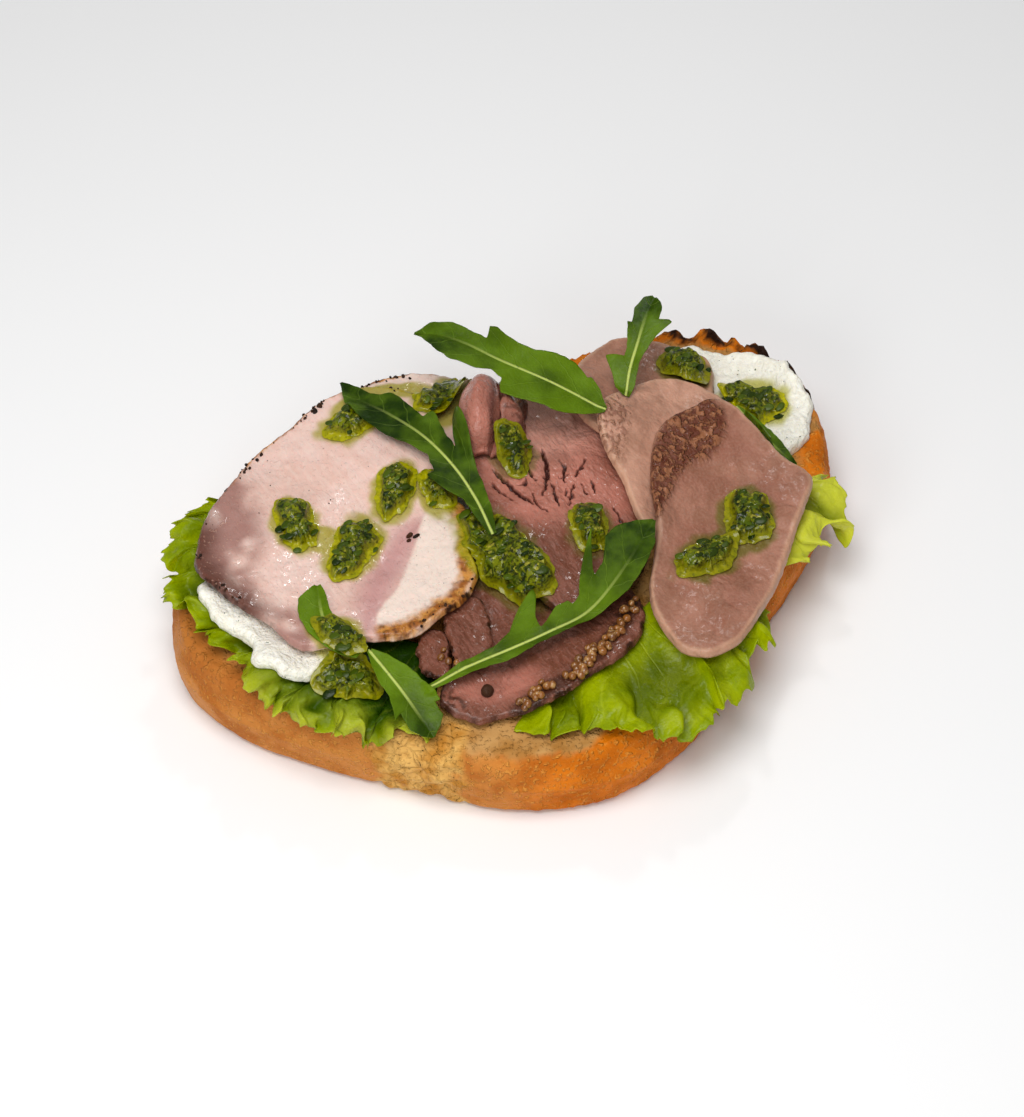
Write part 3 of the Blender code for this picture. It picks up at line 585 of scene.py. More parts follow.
def baked_bread(colors):
    """Baked wheat bread: a matt blistered crust, with a dry porous crumb where it is cut or burst."""
    mat, tree, shader, mm, crust, toast_and_shade, pale, char, warm = start_material(
        "baked_wheat_bread", 0.62, ("crust", "toast_and_shade", "pale", "char", "warm"), Specular_IOR_Level=0.12)
    patches = pattern(tree, mm, 11, 3, 0.36, 0.66)
    flecks = pattern(tree, mm, 1.3, 2, 0.50, 0.72)
    freckles = pattern(tree, mm, 0.8, 2, 0.60, 0.70)
    cracks = pattern(tree, mm, 2.4, 3, 0.42, 0.28, warp=0.8)
    baked = coats(tree, colors.crust, (rgb("#e27a08"), warm), (rgb("#a04c08"), patches, 0.6),
                  (rgb("#eda548"), flecks, 0.5), (rgb("#8a4408"), cracks, 0.08),
                  (rgb("#f2be5c"), freckles, 0.2))
    # The crumb's pores are small spots of painted shade in its holes.
    shaded_pores = pattern(tree, mm, 1.8, 3, 0.60, 0.70)
    mottle = pattern(tree, mm, 7, 3, 0.35, 0.7)
    crumb = coats(tree, colors.crumb, (rgb("#a46c28"), mottle, 0.8), (rgb("#7b4f1c"), shaded_pores, 0.24))
    # Painted shade darkens the cracks between the torn flakes of the burst crumb.
    edges = add(tree, "TexVoronoi", {"Vector": mm, "Scale": 0.22}, feature="DISTANCE_TO_EDGE").outputs[0]
    facets = add(tree, "MapRange", {0: edges, 1: 0.07, 2: 0.01}).outputs[0]
    torn = coats(tree, rgb("#e6b464"), (rgb("#c2822e"), mottle), (rgb("#a87830"), facets, 0.30))
    # The toasted brown also carries painted shade at the left end of the bread.
    color = coats(tree, crumb, (baked, crust), (torn, pale), (rgb("#b0682a"), toast_and_shade), (rgb("#2a150a"), char))
    paint(tree, shader, color, patches, 0.5, 0.75)
    relief(tree, shader, (0.42, flecks), (-0.1, shaded_pores), (-0.22, facets, pale))
    return mat


def soft_cheese(colors):
    """Soft fresh cheese: moist white curd, grainy, with light carried a little way inside."""
    mat, tree, shader, mm, stain = start_material(
        "soft_fresh_cheese", 0.5, ("oil",), Specular_IOR_Level=0.3, Subsurface_Weight=0.25,
        Subsurface_Radius=(1.0, 0.9, 0.7), Subsurface_Scale=1.2 * MM)
    curd = pattern(tree, mm, 1.4, 3, 0.35, 0.7)
    color = coats(tree, colors.cheese, (rgb("#e9e0cc"), curd, 0.4), (rgb("#b5b024"), stain, 0.85))
    paint(tree, shader, color, curd, 0.35, 0.6)
    relief(tree, shader, (0.3, curd), (0.06, pattern(tree, mm, 0.5, 1)))
    return mat


def lettuce_leaf(colors):
    """Fresh lettuce: thin waxy blade, yellow-green where light passes it, with pale branching veins."""
    mat, tree, shader, mm, shade, vein, deep_tone_and_shade, sun = start_material(
        "fresh_lettuce", 0.3, ("shade", "vein", "deep_tone_and_shade", "sun"), Specular_IOR_Level=0.14,
        Subsurface_Weight=0.3, Subsurface_Radius=(0.9, 1.0, 0.1), Subsurface_Scale=1.5 * MM)
    blotch = pattern(tree, mm, 7, 3, 0.35, 0.65)
    fine = pattern(tree, mm, 1.6, 2, 0.3, 0.7)
    # Painted shade in the folds and inner parts, and painted sunlight on the end leaf and the front frills.
    color = coats(tree, colors.lettuce, (rgb("#5a7400"), blotch, 0.45), (rgb("#2e5000"), shade),
                  (rgb("#dfe04a"), sun), (rgb("#c0cc38"), vein, 0.35), (rgb("#0f2400"), deep_tone_and_shade))
    paint(tree, shader, color, fine, 0.22, 0.42)
    relief(tree, shader, (0.15, vein), (0.08, fine), (0.3, blotch))
    return mat


def roast_pork(colors):
    """Sliced roast pork neck: wet pale muscle and a white fat cap inside a peppered brown roast rim."""
    mat, tree, shader, mm, fat, lean, dark, deep_tone_and_shade, roast, char, oil = start_material(
        "roast_pork", 0.36, ("fat", "lean", "dark", "deep_tone_and_shade", "roast", "char", "oil"),
        Specular_IOR_Level=0.25, Subsurface_Weight=0.2, Coat_Weight=0.2, Coat_Roughness=0.1,
        Subsurface_Radius=(1.0, 0.5, 0.4), Subsurface_Scale=1.5 * MM)
    cloud = pattern(tree, mm, 14, 3, 0.35, 0.68, warp=0.8)
    fibre = pattern(tree, mm, 1.4, 3, 0.4, 0.66, stretch=(1, 4, 1), warp=0.5)
    spots = pattern(tree, mm, 0.9, 2, 0.60, 0.70)
    browned = pattern(tree, mm, 3.5, 3, 0.38, 0.62)
    muscle = coats(tree, colors.pork, (rgb("#e0b2a0"), cloud, 0.5), (rgb("#f2dccf"), fibre, 0.25))
    rind = coats(tree, rgb("#cc8c40"), (rgb("#9a5a20"), browned))
    color = coats(tree, muscle, (rgb("#bf8886"), lean), (colors.fat, fat), (rgb("#9a6a60"), dark),
                  (rgb("#5e3528"), deep_tone_and_shade), (rind, roast), (rgb("#33180a"), char),
                  (rgb("#a09608"), oil, 0.85))
    # Painted glints: light specks over the dark part of the muscle.
    glints = coats(tree, color, (rgb("#d3a690"), spots, dark, 0.5))
    wet = pattern(tree, mm, 3.0, 3, 0.35, 0.65)
    paint(tree, shader, glints, wet, 0.2, 0.5)
    relief(tree, shader, (0.3, cloud), (0.05, fibre), (0.1, spots), (0.4, browned, roast))
    return mat


def roast_beef(colors):
    """Sliced roast beef: damp grainy muscle, pink inside and greyer outside, split along its grain."""
    mat, tree, shader, mm, pink, pale, crack, spice, oil = start_material(
        "roast_beef", 0.38, ("pink", "pale", "crack", "spice", "oil"), Specular_IOR_Level=0.22,
        Subsurface_Weight=0.15, Coat_Weight=0.2, Coat_Roughness=0.12, Subsurface_Radius=(1.0, 0.35, 0.25),
        Subsurface_Scale=1.2 * MM)
    cloud = pattern(tree, mm, 8, 3, 0.35, 0.68, warp=0.5)
    fibre = pattern(tree, mm, 1.1, 3, 0.42, 0.62, stretch=(1, 3.5, 1), warp=0.6)
    # Painted glints: tiny light specks, which also bump the surface.
    painted_glints = pattern(tree, mm, 0.6, 1, 0.62, 0.72)
    pits = pattern(tree, mm, 1.3, 3, 0.36, 0.28, stretch=(1, 2.5, 1), warp=0.5)
    # The pale coat is painted light on the top of the fanned slice.
    muscle = coats(tree, colors.beef, (rgb("#c37c6a"), pink), (rgb("#e2a795"), pale),
                   (rgb("#6a3a28"), cloud, 0.35), (rgb("#b97c6c"), fibre, 0.2), (rgb("#6b2c22"), pits, 0.25))
    # The near black in the splits and in the fold's crease is painted shade.
    color = coats(tree, muscle, (rgb("#3a120b"), crack), (rgb("#35190b"), spice),
                  (rgb("#d9a591"), painted_glints, 0.25), (rgb("#5d5a0c"), oil, 0.6))
    wet = pattern(tree, mm, 2.4, 3, 0.35, 0.65)
    paint(tree, shader, color, wet, 0.2, 0.55)
    relief(tree, shader, (0.5, cloud), (0.08, fibre), (0.1, painted_glints))
    return mat


def boiled_tongue(colors):
    """Sliced boiled tongue: smooth fine-grained meat with a pale rim and a rough papillae skin at one side."""
    mat, tree, shader, mm, rim, rough, mauve, light, oil = start_material(
        "boiled_tongue", 0.4, ("rim", "rough", "mauve", "light", "oil"), Specular_IOR_Level=0.2,
        Subsurface_Weight=0.15, Coat_Weight=0.12, Coat_Roughness=0.16, Subsurface_Radius=(1.0, 0.5, 0.35),
        Subsurface_Scale=1.2 * MM)
    cloud = pattern(tree, mm, 9, 3, 0.35, 0.68, warp=0.4)
    grain = pattern(tree, mm, 0.8, 2, 0.35, 0.7)
    nubs = pattern(tree, mm, 2.0, 2, 0.42, 0.60)
    # The light coat is painted light that makes a whole slice paler.
    meat = coats(tree, colors.tongue, (rgb("#955f4c"), mauve, 0.8), (rgb("#dba98f"), light),
                 (rgb("#7f543c"), cloud, 0.45), (rgb("#c69b86"), grain, 0.15))
    skin = coats(tree, rgb("#643220"), (rgb("#96603f"), nubs))
    color = coats(tree, meat, (rgb("#d2a688"), rim, 0.5), (skin, rough), (rgb("#605c04"), oil, 0.8))
    wet = pattern(tree, mm, 3.2, 3, 0.35, 0.65)
    paint(tree, shader, color, wet, 0.28, 0.5)
    relief(tree, shader, (0.5, cloud), (0.05, grain), (0.9, nubs, rough))
    return mat


def herb_pesto(colors):
    """Herb pesto: chopped leaves and nuts in olive oil, dark green, glossy, and yellow where only oil is."""
    mat, tree, shader, mm, paste, bright = start_material(
        "herb_pesto", 0.3, ("paste", "bright"), Specular_IOR_Level=0.15, Coat_Weight=0.35,
        Coat_Roughness=0.04, Subsurface_Weight=0.15, Subsurface_Radius=(0.6, 0.8, 0.1),
        Subsurface_Scale=1.0 * MM)
    bits = pattern(tree, mm, 2.2, 3, 0.4, 0.6, warp=0.8)
    leaf = pattern(tree, mm, 1.1, 2, 0.56, 0.64)
    nut = pattern(tree, mm, 1.9, 2, 0.62, 0.68)
    dark = pattern(tree, mm, 3.4, 3, 0.38, 0.62, warp=0.5)
    green = coats(tree, colors.pesto, (rgb("#1b2c00"), dark), (rgb("#868a00"), bits, 0.6),
                  (rgb("#101a00"), leaf, 0.75), (rgb("#b5ac3c"), nut, 0.7))
    pool = coats(tree, colors.oil, (rgb("#c2ba00"), bright), (rgb("#5a6400"), bits, 0.4),
                 (rgb("#2c3400"), leaf, 0.4))
    paint(tree, shader, coats(tree, pool, (green, paste)))
    relief(tree, shader, (0.4, bits, paste), (0.3, leaf, paste))
    return mat


def rocket_leaf(colors):
    """Fresh rocket: smooth satin blade with a pale raised midrib and faint side veins."""
    mat, tree, shader, mm, along, across, tip, fade = start_material(
        "fresh_rocket", 0.4, ("along", "across", "dark", "fade"), Specular_IOR_Level=0.12,
        Subsurface_Weight=0.15, Subsurface_Radius=(0.7, 1.0, 0.1), Subsurface_Scale=1.0 * MM)
    side = add(tree, "Math", {0: across}, operation="ABSOLUTE").outputs[0]
    midrib = add(tree, "MapRange", {0: side, 1: 0.6, 2: 0.2}, interpolation_type="SMOOTHSTEP").outputs[0]
    lean = add(tree, "Math", {0: side, 1: -1.1, 2: along}, operation="MULTIPLY_ADD").outputs[0]
    sway = pattern(tree, mm, 4, 1)
    wander = add(tree, "Math", {0: sway, 1: 2.5, 2: lean}, operation="MULTIPLY_ADD").outputs[0]
    saw = add(tree, "Math", {0: wander, 1: 5.0}, operation="PINGPONG").outputs[0]
    veins = add(tree, "MapRange", {0: saw, 1: 0.35, 2: 0.05}, interpolation_type="SMOOTHSTEP").outputs[0]
    blotch = pattern(tree, mm, 8, 3, 0.35, 0.68)
    fine = pattern(tree, mm, 0.9, 2, 0.3, 0.7)
    color = coats(tree, colors.rocket, (rgb("#1a3000"), tip), (rgb("#6f8f1c"), blotch, 0.4),
                  (rgb("#7f9c34"), veins, 0.25), (rgb("#bcc96a"), midrib, fade))
    paint(tree, shader, color, fine, 0.32, 0.5)
    relief(tree, shader, (0.3, midrib, fade), (0.1, veins), (0.05, fine))
    return mat


def mustard_seed(colors):
    """Pickled mustard seed: small tan beads, wet, each a little different."""
    mat, tree, shader, mm, tint = start_material(
        "mustard_seed", 0.25, ("tint",), Coat_Weight=0.4, Coat_Roughness=0.1)
    bloom = pattern(tree, mm, 1.2, 2, 0.5, 0.7)
    color = coats(tree, colors.seed, (rgb("#6c3f18"), tint), (rgb("#e0b878"), bloom, 0.4))
    paint(tree, shader, color)
    relief(tree, shader, (0.04, pattern(tree, mm, 0.5, 1)))
    return mat


def cracked_pepper():
    """Black pepper: wrinkled matt husk, with paler broken faces."""
    mat, tree, shader, mm, tint = start_material("black_pepper", 0.5, ("tint",), Specular_IOR_Level=0.2)
    husk = pattern(tree, mm, 0.7, 3, 0.4, 0.65)
    color = coats(tree, rgb("#140c07"), (rgb("#281811"), husk, 0.7), (rgb("#6a4024"), tint, 0.4))
    paint(tree, shader, color)
    relief(tree, shader, (0.15, husk))
    return mat


def chopped_herb():
    """Chopped basil and parsley: thin dark flakes, wet with oil."""
    mat, tree, shader, mm, tint = start_material(
        "chopped_herb", 0.35, ("tint",), Specular_IOR_Level=0.15, Coat_Weight=0.12, Coat_Roughness=0.08)
    color = coats(tree, rgb("#1a2a00"), (rgb("#4a5c08"), tint))
    paint(tree, shader, color)
    relief(tree, shader, (0.08, pattern(tree, mm, 0.6, 2)))
    return mat


# where oil has run from one dollop of pesto to another: middle, half length, half width, heading
OIL_RUNS = [((-54, 29), 7, 3.5, -45), ((46, -29), 8, 3.5, 20), ((-9, 70), 14, 3, -20), ((-23, 68), 7, 2.5, -10),
            ((83, 17), 9, 7, -50)]
OIL_SPREAD = 2.6            # how far oil runs out round a dollop


def oil_stain(plan):
    """Where oil has run out round the dollops of pesto, 0 to 1."""
    stain = np.zeros(len(plan))
    wander = 0.22 * lumps(plan, 6, 30, detail=2)
    for middle, half_length, half_width, heading in [*[row[:4] for row in PESTO.values()], *OIL_RUNS]:
        turn = math.radians(heading)
        away = plan - middle
        long = away @ (math.cos(turn), math.sin(turn)) / (half_length + OIL_SPREAD)
        wide = away @ (-math.sin(turn), math.cos(turn)) / (half_width + OIL_SPREAD)
        stain = np.maximum(stain, 1 - ease(np.hypot(long, wide) + wander, 0.8, 1.08))
    return stain


# ---------------------------------------------------------------- bread and what is spread on it

def bearing(edge):
    """Direction of points from the middle of the layout, in degrees."""
    return np.degrees(np.arctan2(edge[:, 1], edge[:, 0]))


def lip_zone(edge, begins=-2):
    """Where the rim of the bread is torn and stands up, 0 to 1: only round the back right."""
    turn = bearing(edge)
    return np.clip(np.minimum((turn - begins) / 12, (58 - turn) / 10), 0, 1)


def bread_masks(edge, plan, z, inset, torn, burst, top):
    """Where the bread is crust, toasted, charred or burst open, or darkened by painted shade."""
    baked_top = 8 * ease(edge[:, 0], -30, -10) * (edge[:, 1] < 0) + 6 * ease(edge[:, 0], -66, -78)
    ragged = 1.6 * lumps(np.column_stack([edge, z]), 5, 4, detail=2)
    crust = ease(-inset + ragged, -3.8 - baked_top, -1.6 - 0.7 * baked_top)
    crust = np.maximum(crust, ease(torn, 0.25, 0.5))
    mottled = lumps(plan, 5, 7, detail=2)
    toast_and_shade = 0.6 * ease(torn + 0.6 * mottled, 0.55, 0.95)
    # Painted shade: the upper crust wall and the top face at the left end get the toasted brown.
    toast_and_shade = np.maximum(toast_and_shade, 0.6 * ease(edge[:, 0], -60, -95) * ease(z, 15, 25) * crust)
    toast_and_shade = np.maximum(toast_and_shade, 0.7 * ease(edge[:, 0], -50, -90) * ease(inset, 1, 4) * top)
    char = ease(torn * bell(bearing(edge), 14, 28) + 0.7 * mottled, 0.42, 0.68) * ease(torn, 0.15, 0.45)
    return {"warm": ease(edge[:, 0], -52, -30), "crust": crust, "toast_and_shade": toast_and_shade, "char": char,
            "pale": burst * np.maximum(crust, ease(inset, 16, 9))}


def bread_slice(colors, sizes):
    """Slice with a blistered crust wall, burst open in one place, and a torn toasted lip."""
    PILE.clear()
    mesh, radius, turn, level = disc(460, 36, walls=36, under=6, crowd=1.7)
    loop = smooth_loop(BREAD_LOOP, 480)
    middle, edge, reach, heading = spokes(loop, turn)
    insets, heights = np.array(BREAD_WALL).T
    wall = radius > ON_WALL
    z = np.where(wall, np.interp(level, heights / BREAD_THICK, heights), level * BREAD_THICK)
    inset = np.where(wall, np.interp(z, heights, insets), 0)
    rim_inset = np.where(level > 0.5, insets[-1], insets[0])
    inset = np.where(wall, inset, rim_inset + (1 - radius) * (reach - rim_inset))
    wave = lumps(np.column_stack([edge / 17, z / 14]), 1)
    skin = np.column_stack([edge, z])
    torn_edge = edge[:, 0] + 3.0 * lumps(skin, 7, 12, detail=2)
    burst = ease(np.abs(torn_edge + 64), 10, 7.5) * (edge[:, 1] < 0)
    crag = 1 - cells(skin, 4.5, 3) / 2.4
    blister = lumps(skin, 2.6, 1, detail=2)
    rough = lumps(skin, 3.4, 2, detail=3)
    near = ease(inset, 14, 5)
    coarse = 0.35 + 0.65 * ease(edge[:, 0], -75, -30)
    skin_mm = (0.42 * coarse * blister + 0.2 * rough) * (1 - burst) + burst * (1.1 * rough + 0.8 * crag)
    relief_mm = 0.9 * wave - near * skin_mm * sizes.relief
    plan = middle + heading * (reach - np.minimum(inset, reach) - relief_mm * ease(radius, 0.3, 0.9))[:, None]
    top = (level > 0.5) & ~wall
    crumb = lumps(plan, 3.2, 3, detail=3)
    z += np.where(top, 0.25 * lumps(plan, 9) + 0.4 * crumb * near, 0)
    torn = lip_zone(edge) * bell(inset + 1.5 * lumps(edge, 5, 9), 2.8, 2.8) * ease(z, 20, 24.5)
    knobs = 0.85 + 1.3 * lumps(np.column_stack([plan, z]), 5, 6, detail=3)
    z += LIP_HEIGHT * torn * np.clip(knobs, 0.1, 1.4) * (1 + 0.6 * bell(bearing(edge), 14, 20))
    z = np.maximum(z, 0)
    points = np.column_stack([plan, z])
    PILE.add("bread_slice", points)
    masks = bread_masks(edge, plan, z, inset, torn, burst, level > 0.5)
    finish_piece("bread", mesh, points, baked_bread(colors), "bread", ["bread_slice"], **masks)


def cheese_spread(colors, sizes):
    """Soft cheese spread unevenly, with a lumpy broken edge."""
    mesh, radius, turn, level = disc(480, 80, walls=4)
    loop = smooth_loop(CHEESE_LOOP, 480)
    middle, edge, reach, heading = spokes(loop, turn)
    ragged = 1.3 * lumps(edge, 6, 1, detail=2) + 0.5 * lumps(edge, 1.8, 2)
    reach = reach - 2.2 * lip_zone(edge) - 2.8 * lip_zone(edge, 14)
    plan = middle + heading * ((reach + ragged) * radius)[:, None]
    rest = PILE.rest(loop, 30)
    under = sample(rest, plan)
    inset = (1 - radius) * reach
    round_off = np.sqrt(1 - (1 - np.clip(inset / 2.6, 0, 1)) ** 2)
    thick = CHEESE_THICK * (0.2 + 0.8 * round_off)
    lumpy = 0.8 * lumps(plan, 7, 3, detail=2) + 0.35 * lumps(plan, 2.2, 4, detail=2)
    z = under + level * (thick + lumpy * sizes.relief * (0.3 + 0.7 * round_off))
    points = np.column_stack([plan, z])
    PILE.add("soft_cheese_spread", points)
    finish_piece("soft_cheese", mesh, points, soft_cheese(colors), "soft_cheese", ["soft_cheese_spread"],
                 oil=oil_stain(plan))


def lettuce_masks(name, plan, v, ruffle, mm_along):
    """Where a lettuce leaf gets painted shade, veins and painted sunlight, and more painted shade deep in its
    folds; `v` is 1 at its outer edge.
    """
    branch = np.abs(((mm_along - 12 * (1 - v)) / 9) % 1 - 0.5) * 9
    valley = ease(ruffle, 0.4, -2.6)
    left, end = name == "lettuce_leaf_left", name == "lettuce_leaf_end"
    front = ease(plan[:, 1], 12, -8) if left else 0
    # Painted shade: folds, inner parts, the left leaf's front. Painted sunlight: the end leaf, the front
    # frills.
    shade = 0.2 * valley + (0.85 if left else 0.05) * (1 - v ** 2) + 0.55 * front * (1 - v ** 5)
    sun = 0.65 * end * (1 - 0.6 * valley) + 0.34 * front * v ** 5 * (1 - valley)
    return {"shade": np.clip(shade, 0, 1), "vein": ease(branch, 0.6, 0.1) * (1 - 0.7 * v), "sun": sun,
            "deep_tone_and_shade": 0.6 * valley * (1 - v ** 3) + 0.7 * front * ease(v, 0.8, 0.4)}


def lettuce_piece(name, colors, sizes):
    """Frilled leaf: it lies under the meat along its inner edge and ruffles up along the outer one."""
    outer, inner, frill, wave, droop, phase = LETTUCES[name]
    mesh, u, v, level = slab(460, 60)
    outer_path = smooth_path(outer, 300)
    inner_path = smooth_path(inner, 300)
    length = np.linalg.norm(np.diff(outer_path, axis=0), axis=1).sum()
    rest = PILE.rest(np.vstack([outer_path, inner_path[::-1]]), 4)
    bread_edge = smooth_loop(BREAD_LOOP, 240)
    start, end = at_part(inner_path, u), at_part(outer_path, u)
    span = np.linalg.norm(end - start, axis=1)
    heading = (end - start) / span[:, None]
    aside = np.column_stack([-heading[:, 1], heading[:, 0]])
    mm_along = length * u
    out = v * span
    sheet = np.column_stack([mm_along, out])
    broad = lumps(sheet * (1, 0.35), wave * 0.7, phase) * 3.2
    middling = lumps(sheet * (1, 0.45), wave * 0.36, phase + 1) * 3.0
    small = lumps(sheet * (1, 0.6), wave * 0.16, phase + 2) * 2.8
    turned = lumps(sheet * (1, 0.4), wave * 0.4, phase + 5) * 2.8
    step = mm_along / 6.5 + 1.6 * lumps(mm_along, 11, phase + 3)
    depth, uneven, barb = (2.4, 4.2, 1.3) if name == "lettuce_leaf_left" else (1.8, 3.0, 0.7)
    scallop = (depth + uneven * lumps(mm_along, 9, phase + 4)) * np.abs(np.sin(math.pi * step)) ** 0.8
    barbs = barb * np.abs(np.sin(math.pi * (2.3 * step + 0.3)))
    push = 2.2 * middling * v ** 3 + (1.5 - scallop - barbs) * v ** 7
    plan = start * (1 - v)[:, None] + end * v[:, None] + heading * push[:, None]
    plan += aside * (2.6 * turned * v ** 2 + 1.2 * small * v ** 4)[:, None]
    outside = ~inside(bread_edge, plan[:, 0], plan[:, 1])
    past = np.where(outside, rim_distance(bread_edge, plan), 0)
    ends = ease(u, 0, 0.07) * ease(u, 1, 0.93)
    ruffle = ends * frill * (broad * v ** 1.2 + 0.75 * middling * v ** 2 + 0.4 * small * v ** 4)
    loft = LETTUCE_LOFT * ends * (0.9 + 0.3 * v)
    z = sample(rest, plan) + loft + ruffle * sizes.ruffle - droop * past * (1 - 0.3 * broad)
    floor = sample(PILE.floor(), plan)
    z = np.where(z < floor + 0.3, floor + 0.3 * np.exp((z - floor - 0.3) / 3), z)
    top = z + LETTUCE_THICK * (0.4 + 0.6 * (1 - v ** 4))
    points = np.column_stack([plan, np.where(level > 0.5, top, z)])
    PILE.add(name, points)
    masks = lettuce_masks(name, plan, v, ruffle, mm_along + 2.5 * middling)
    finish_piece(name.replace("_leaf", ""), mesh, points, lettuce_leaf(colors), "lettuce", [name], **masks)


# ---------------------------------------------------------------- sliced meat

# the browned outer skin of the pork's fat cap
PORK_CRUST = [(-56, -8.5), (-50, -10.5), (-42, -10), (-33, -8.5), (-26, -3), (-22, 4), (-16, 14), (-14.5, 22)]


def pork_masks(name, plan, inset):
    """Where a pork slice is fat, lean, dark, roasted or charred."""
    wander = 1.5 * lumps(plan, 6, 5, detail=2)
    grain = lumps(plan, 1.6, 6, detail=2)
    hidden = ease(plan @ np.array([-0.55, -0.84]), 30, 42)
    roast = ease(inset + wander * 0.6 + grain * 0.6, 1.5, 0.3) * (1 - 0.8 * hidden)
    char = ease(inset + 1.2 * grain, 0.8, 0.1) * ease(lumps(plan, 3.5, 8, detail=2), 0.0, 0.35) * (1 - hidden)
    if name != "pork_slice_front":
        return {"fat": 0.5 * ease(inset, 7, 4), "lean": 0, "dark": 0, "deep_tone_and_shade": 0, "roast": roast, "char": char}
    seam = smooth_path([(-58, -10), (-55.8, -3.5), (-50.6, 1.1), (-45, 3.9), (-40, 8.4), (-35, 13.2),
                        (-30, 18.3), (-25, 23.7), (-20, 26.5), (-10, 28)], 60)
    cap = smooth_loop([*seam[::6], (-8, 20), (-18, 0), (-30, -14), (-48, -18), (-60, -15)], 120)
    fat = blob(cap, plan, 0.8)
    lean = 0.8 * blob([(-62, -6), (-58, 5), (-49, 15), (-40, 21), (-30, 24), (-25, 22), (-36, 12), (-46, 4),
                        (-56, -5)], plan + wander[:, None], 4.5)
    dark = blob([(-64, 66), (-65, 52), (-70, 37), (-78, 29), (-80, 18), (-73, 8), (-70, -4), (-84, -6),
                 (-98, 20), (-96, 40), (-80, 60)], plan + wander[:, None], 4.5)
    dark = 0.85 * dark * ease(lumps(plan, 9, 9, detail=2), -0.8, 0.1)
    lower = path_distance(smooth_path(PORK_CRUST, 30), plan) + 1.1 * wander + 0.8 * grain
    roast = np.maximum(roast * (1 - ease(-plan[:, 0], 55, 75)), ease(lower, 4.4, 1.2))
    spots = ease(lumps(plan * (1.6, 1), 1.5, 8, detail=2), 0.3, 0.6)
    char = np.maximum(char, 0.7 * ease(lower, 2.6, 1.2) * spots)
    deep_tone_and_shade = ease(inset + wander, 11, 1) * ease(-plan[:, 0], 72, 84) * ease(plan[:, 1], 4, 18)
    return {"fat": fat, "lean": lean * (1 - fat), "dark": dark * (1 - fat), "deep_tone_and_shade": 0.9 * deep_tone_and_shade, "roast": roast,
            "char": char}


# the splits along the grain of the fanned beef slice: the points of each and its half width in mm
BEEF_CRACKS = [
    ([(8.9, 25.8), (8.5, 21.8), (8.7, 18.8)], 0.3),
    ([(17.4, 27.9), (15.3, 22.8), (13.6, 19.1), (10.5, 14.8), (7.3, 10.9)], 0.75),
    ([(0, 26.7), (0.4, 21.8), (0.8, 19.7), (1.3, 15.8), (3, 9.5)], 0.8),
    ([(2.5, 18.5), (5, 17.4), (6.5, 19.8)], 0.45), ([(8.8, 22.2), (8.4, 19.3), (8.3, 16.9)], 0.5),
    ([(19.3, 21.6), (18.9, 18.8), (18.6, 17.3), (15.6, 12.9)], 0.5),
    ([(26.3, 18.1), (22.5, 15.3), (19.7, 13.5)], 0.4), ([(18.3, 15.1), (16.5, 14.4), (15.1, 15)], 0.35),
    ([(12.1, 13.8), (10.5, 9.3), (8.9, 5.3)], 0.5), ([(17.2, 10.5), (14.5, 7.3), (12, 4.8)], 0.5),
    ([(23.2, 10.3), (22.4, 7.8), (21.7, 5.7)], 0.4), ([(23.2, -1.6), (23.4, -3.7), (23, -6.3)], 0.5),
    ([(19.9, 1.8), (18.8, 0), (19.1, -3.2)], 0.35), ([(5, 13.3), (4.1, 8.8), (4.9, 4.8)], 0.35),
    ([(15, 10.3), (13.1, 8.2)], 0.3), ([(20, 9.8), (18.9, 6.4)], 0.3),
    ([(-3, 22.8), (-2.7, 17.8), (-1, 13.8)], 0.4),
]


def beef_masks(name, plan, inset):
    """Where a beef slice is pink, split with painted shade, spiced, or paler under painted light."""
    grain = lumps(plan, 1.8, 6, detail=2)
    spice = ease(inset + 0.8 * grain, 1.0, 0.3) * ease(lumps(plan, 4, 8), -0.3, 0.3)
    crack = np.zeros(len(plan))
    pale = np.zeros(len(plan))
    if name == "beef_slice_fan":
        # Painted light: the upper part of the fan is made paler, as if lit from above.
        pale = 0.75 * ease(plan[:, 1] + 2 * grain, 14, 32) * ease(plan[:, 0], -4, 8)
        rosy = [(2, 44), (20, 44), (33, 28), (32, 10), (26, -4), (10, -2), (-6, 8), (-4, 28)]
        pink = 0.9 * blob(rosy, plan, 7)
        bent = plan + 0.6 * np.column_stack([lumps(plan, 1.6, 2, detail=2), lumps(plan, 1.6, 3, detail=2)])
        # Each split is sunk into the surface and painted near black as shade inside it.
        for points, half in BEEF_CRACKS:
            path = smooth_path(points, 9) if len(points) > 2 else np.array(points, float)
            near = path_distance(path, bent)
            middle = np.linalg.norm(bent - path[len(path) // 2], axis=1)
            size = half * np.clip(1.15 - middle / (np.linalg.norm(path[-1] - path[0]) * 0.62 + 0.5), 0.15, 1)
            crack = np.maximum(crack, ease(near + 0.25 * grain, size * 0.85 + 0.25, size * 0.6 - 0.1))
    elif name == "beef_slice_front":
        pink = 0.8 * blob([(-50, -34), (-40, -40), (-30, -43), (-24, -38), (-34, -32), (-46, -30)], plan, 4)
        spice = np.maximum(spice, 0.75 * ease(path_distance(smooth_path(SEED_RIM, 20), plan) + grain, 3.6, 1.4))
        spice = np.maximum(spice, 0.8 * blob([(-52, -28), (-52, -36), (-48, -40), (-47, -34)], plan, 1.5)
                           * ease(grain, -0.2, 0.3))
    else:
        pink = np.zeros(len(plan))
    return {"pink": pink, "pale": pale, "crack": crack, "spice": spice}


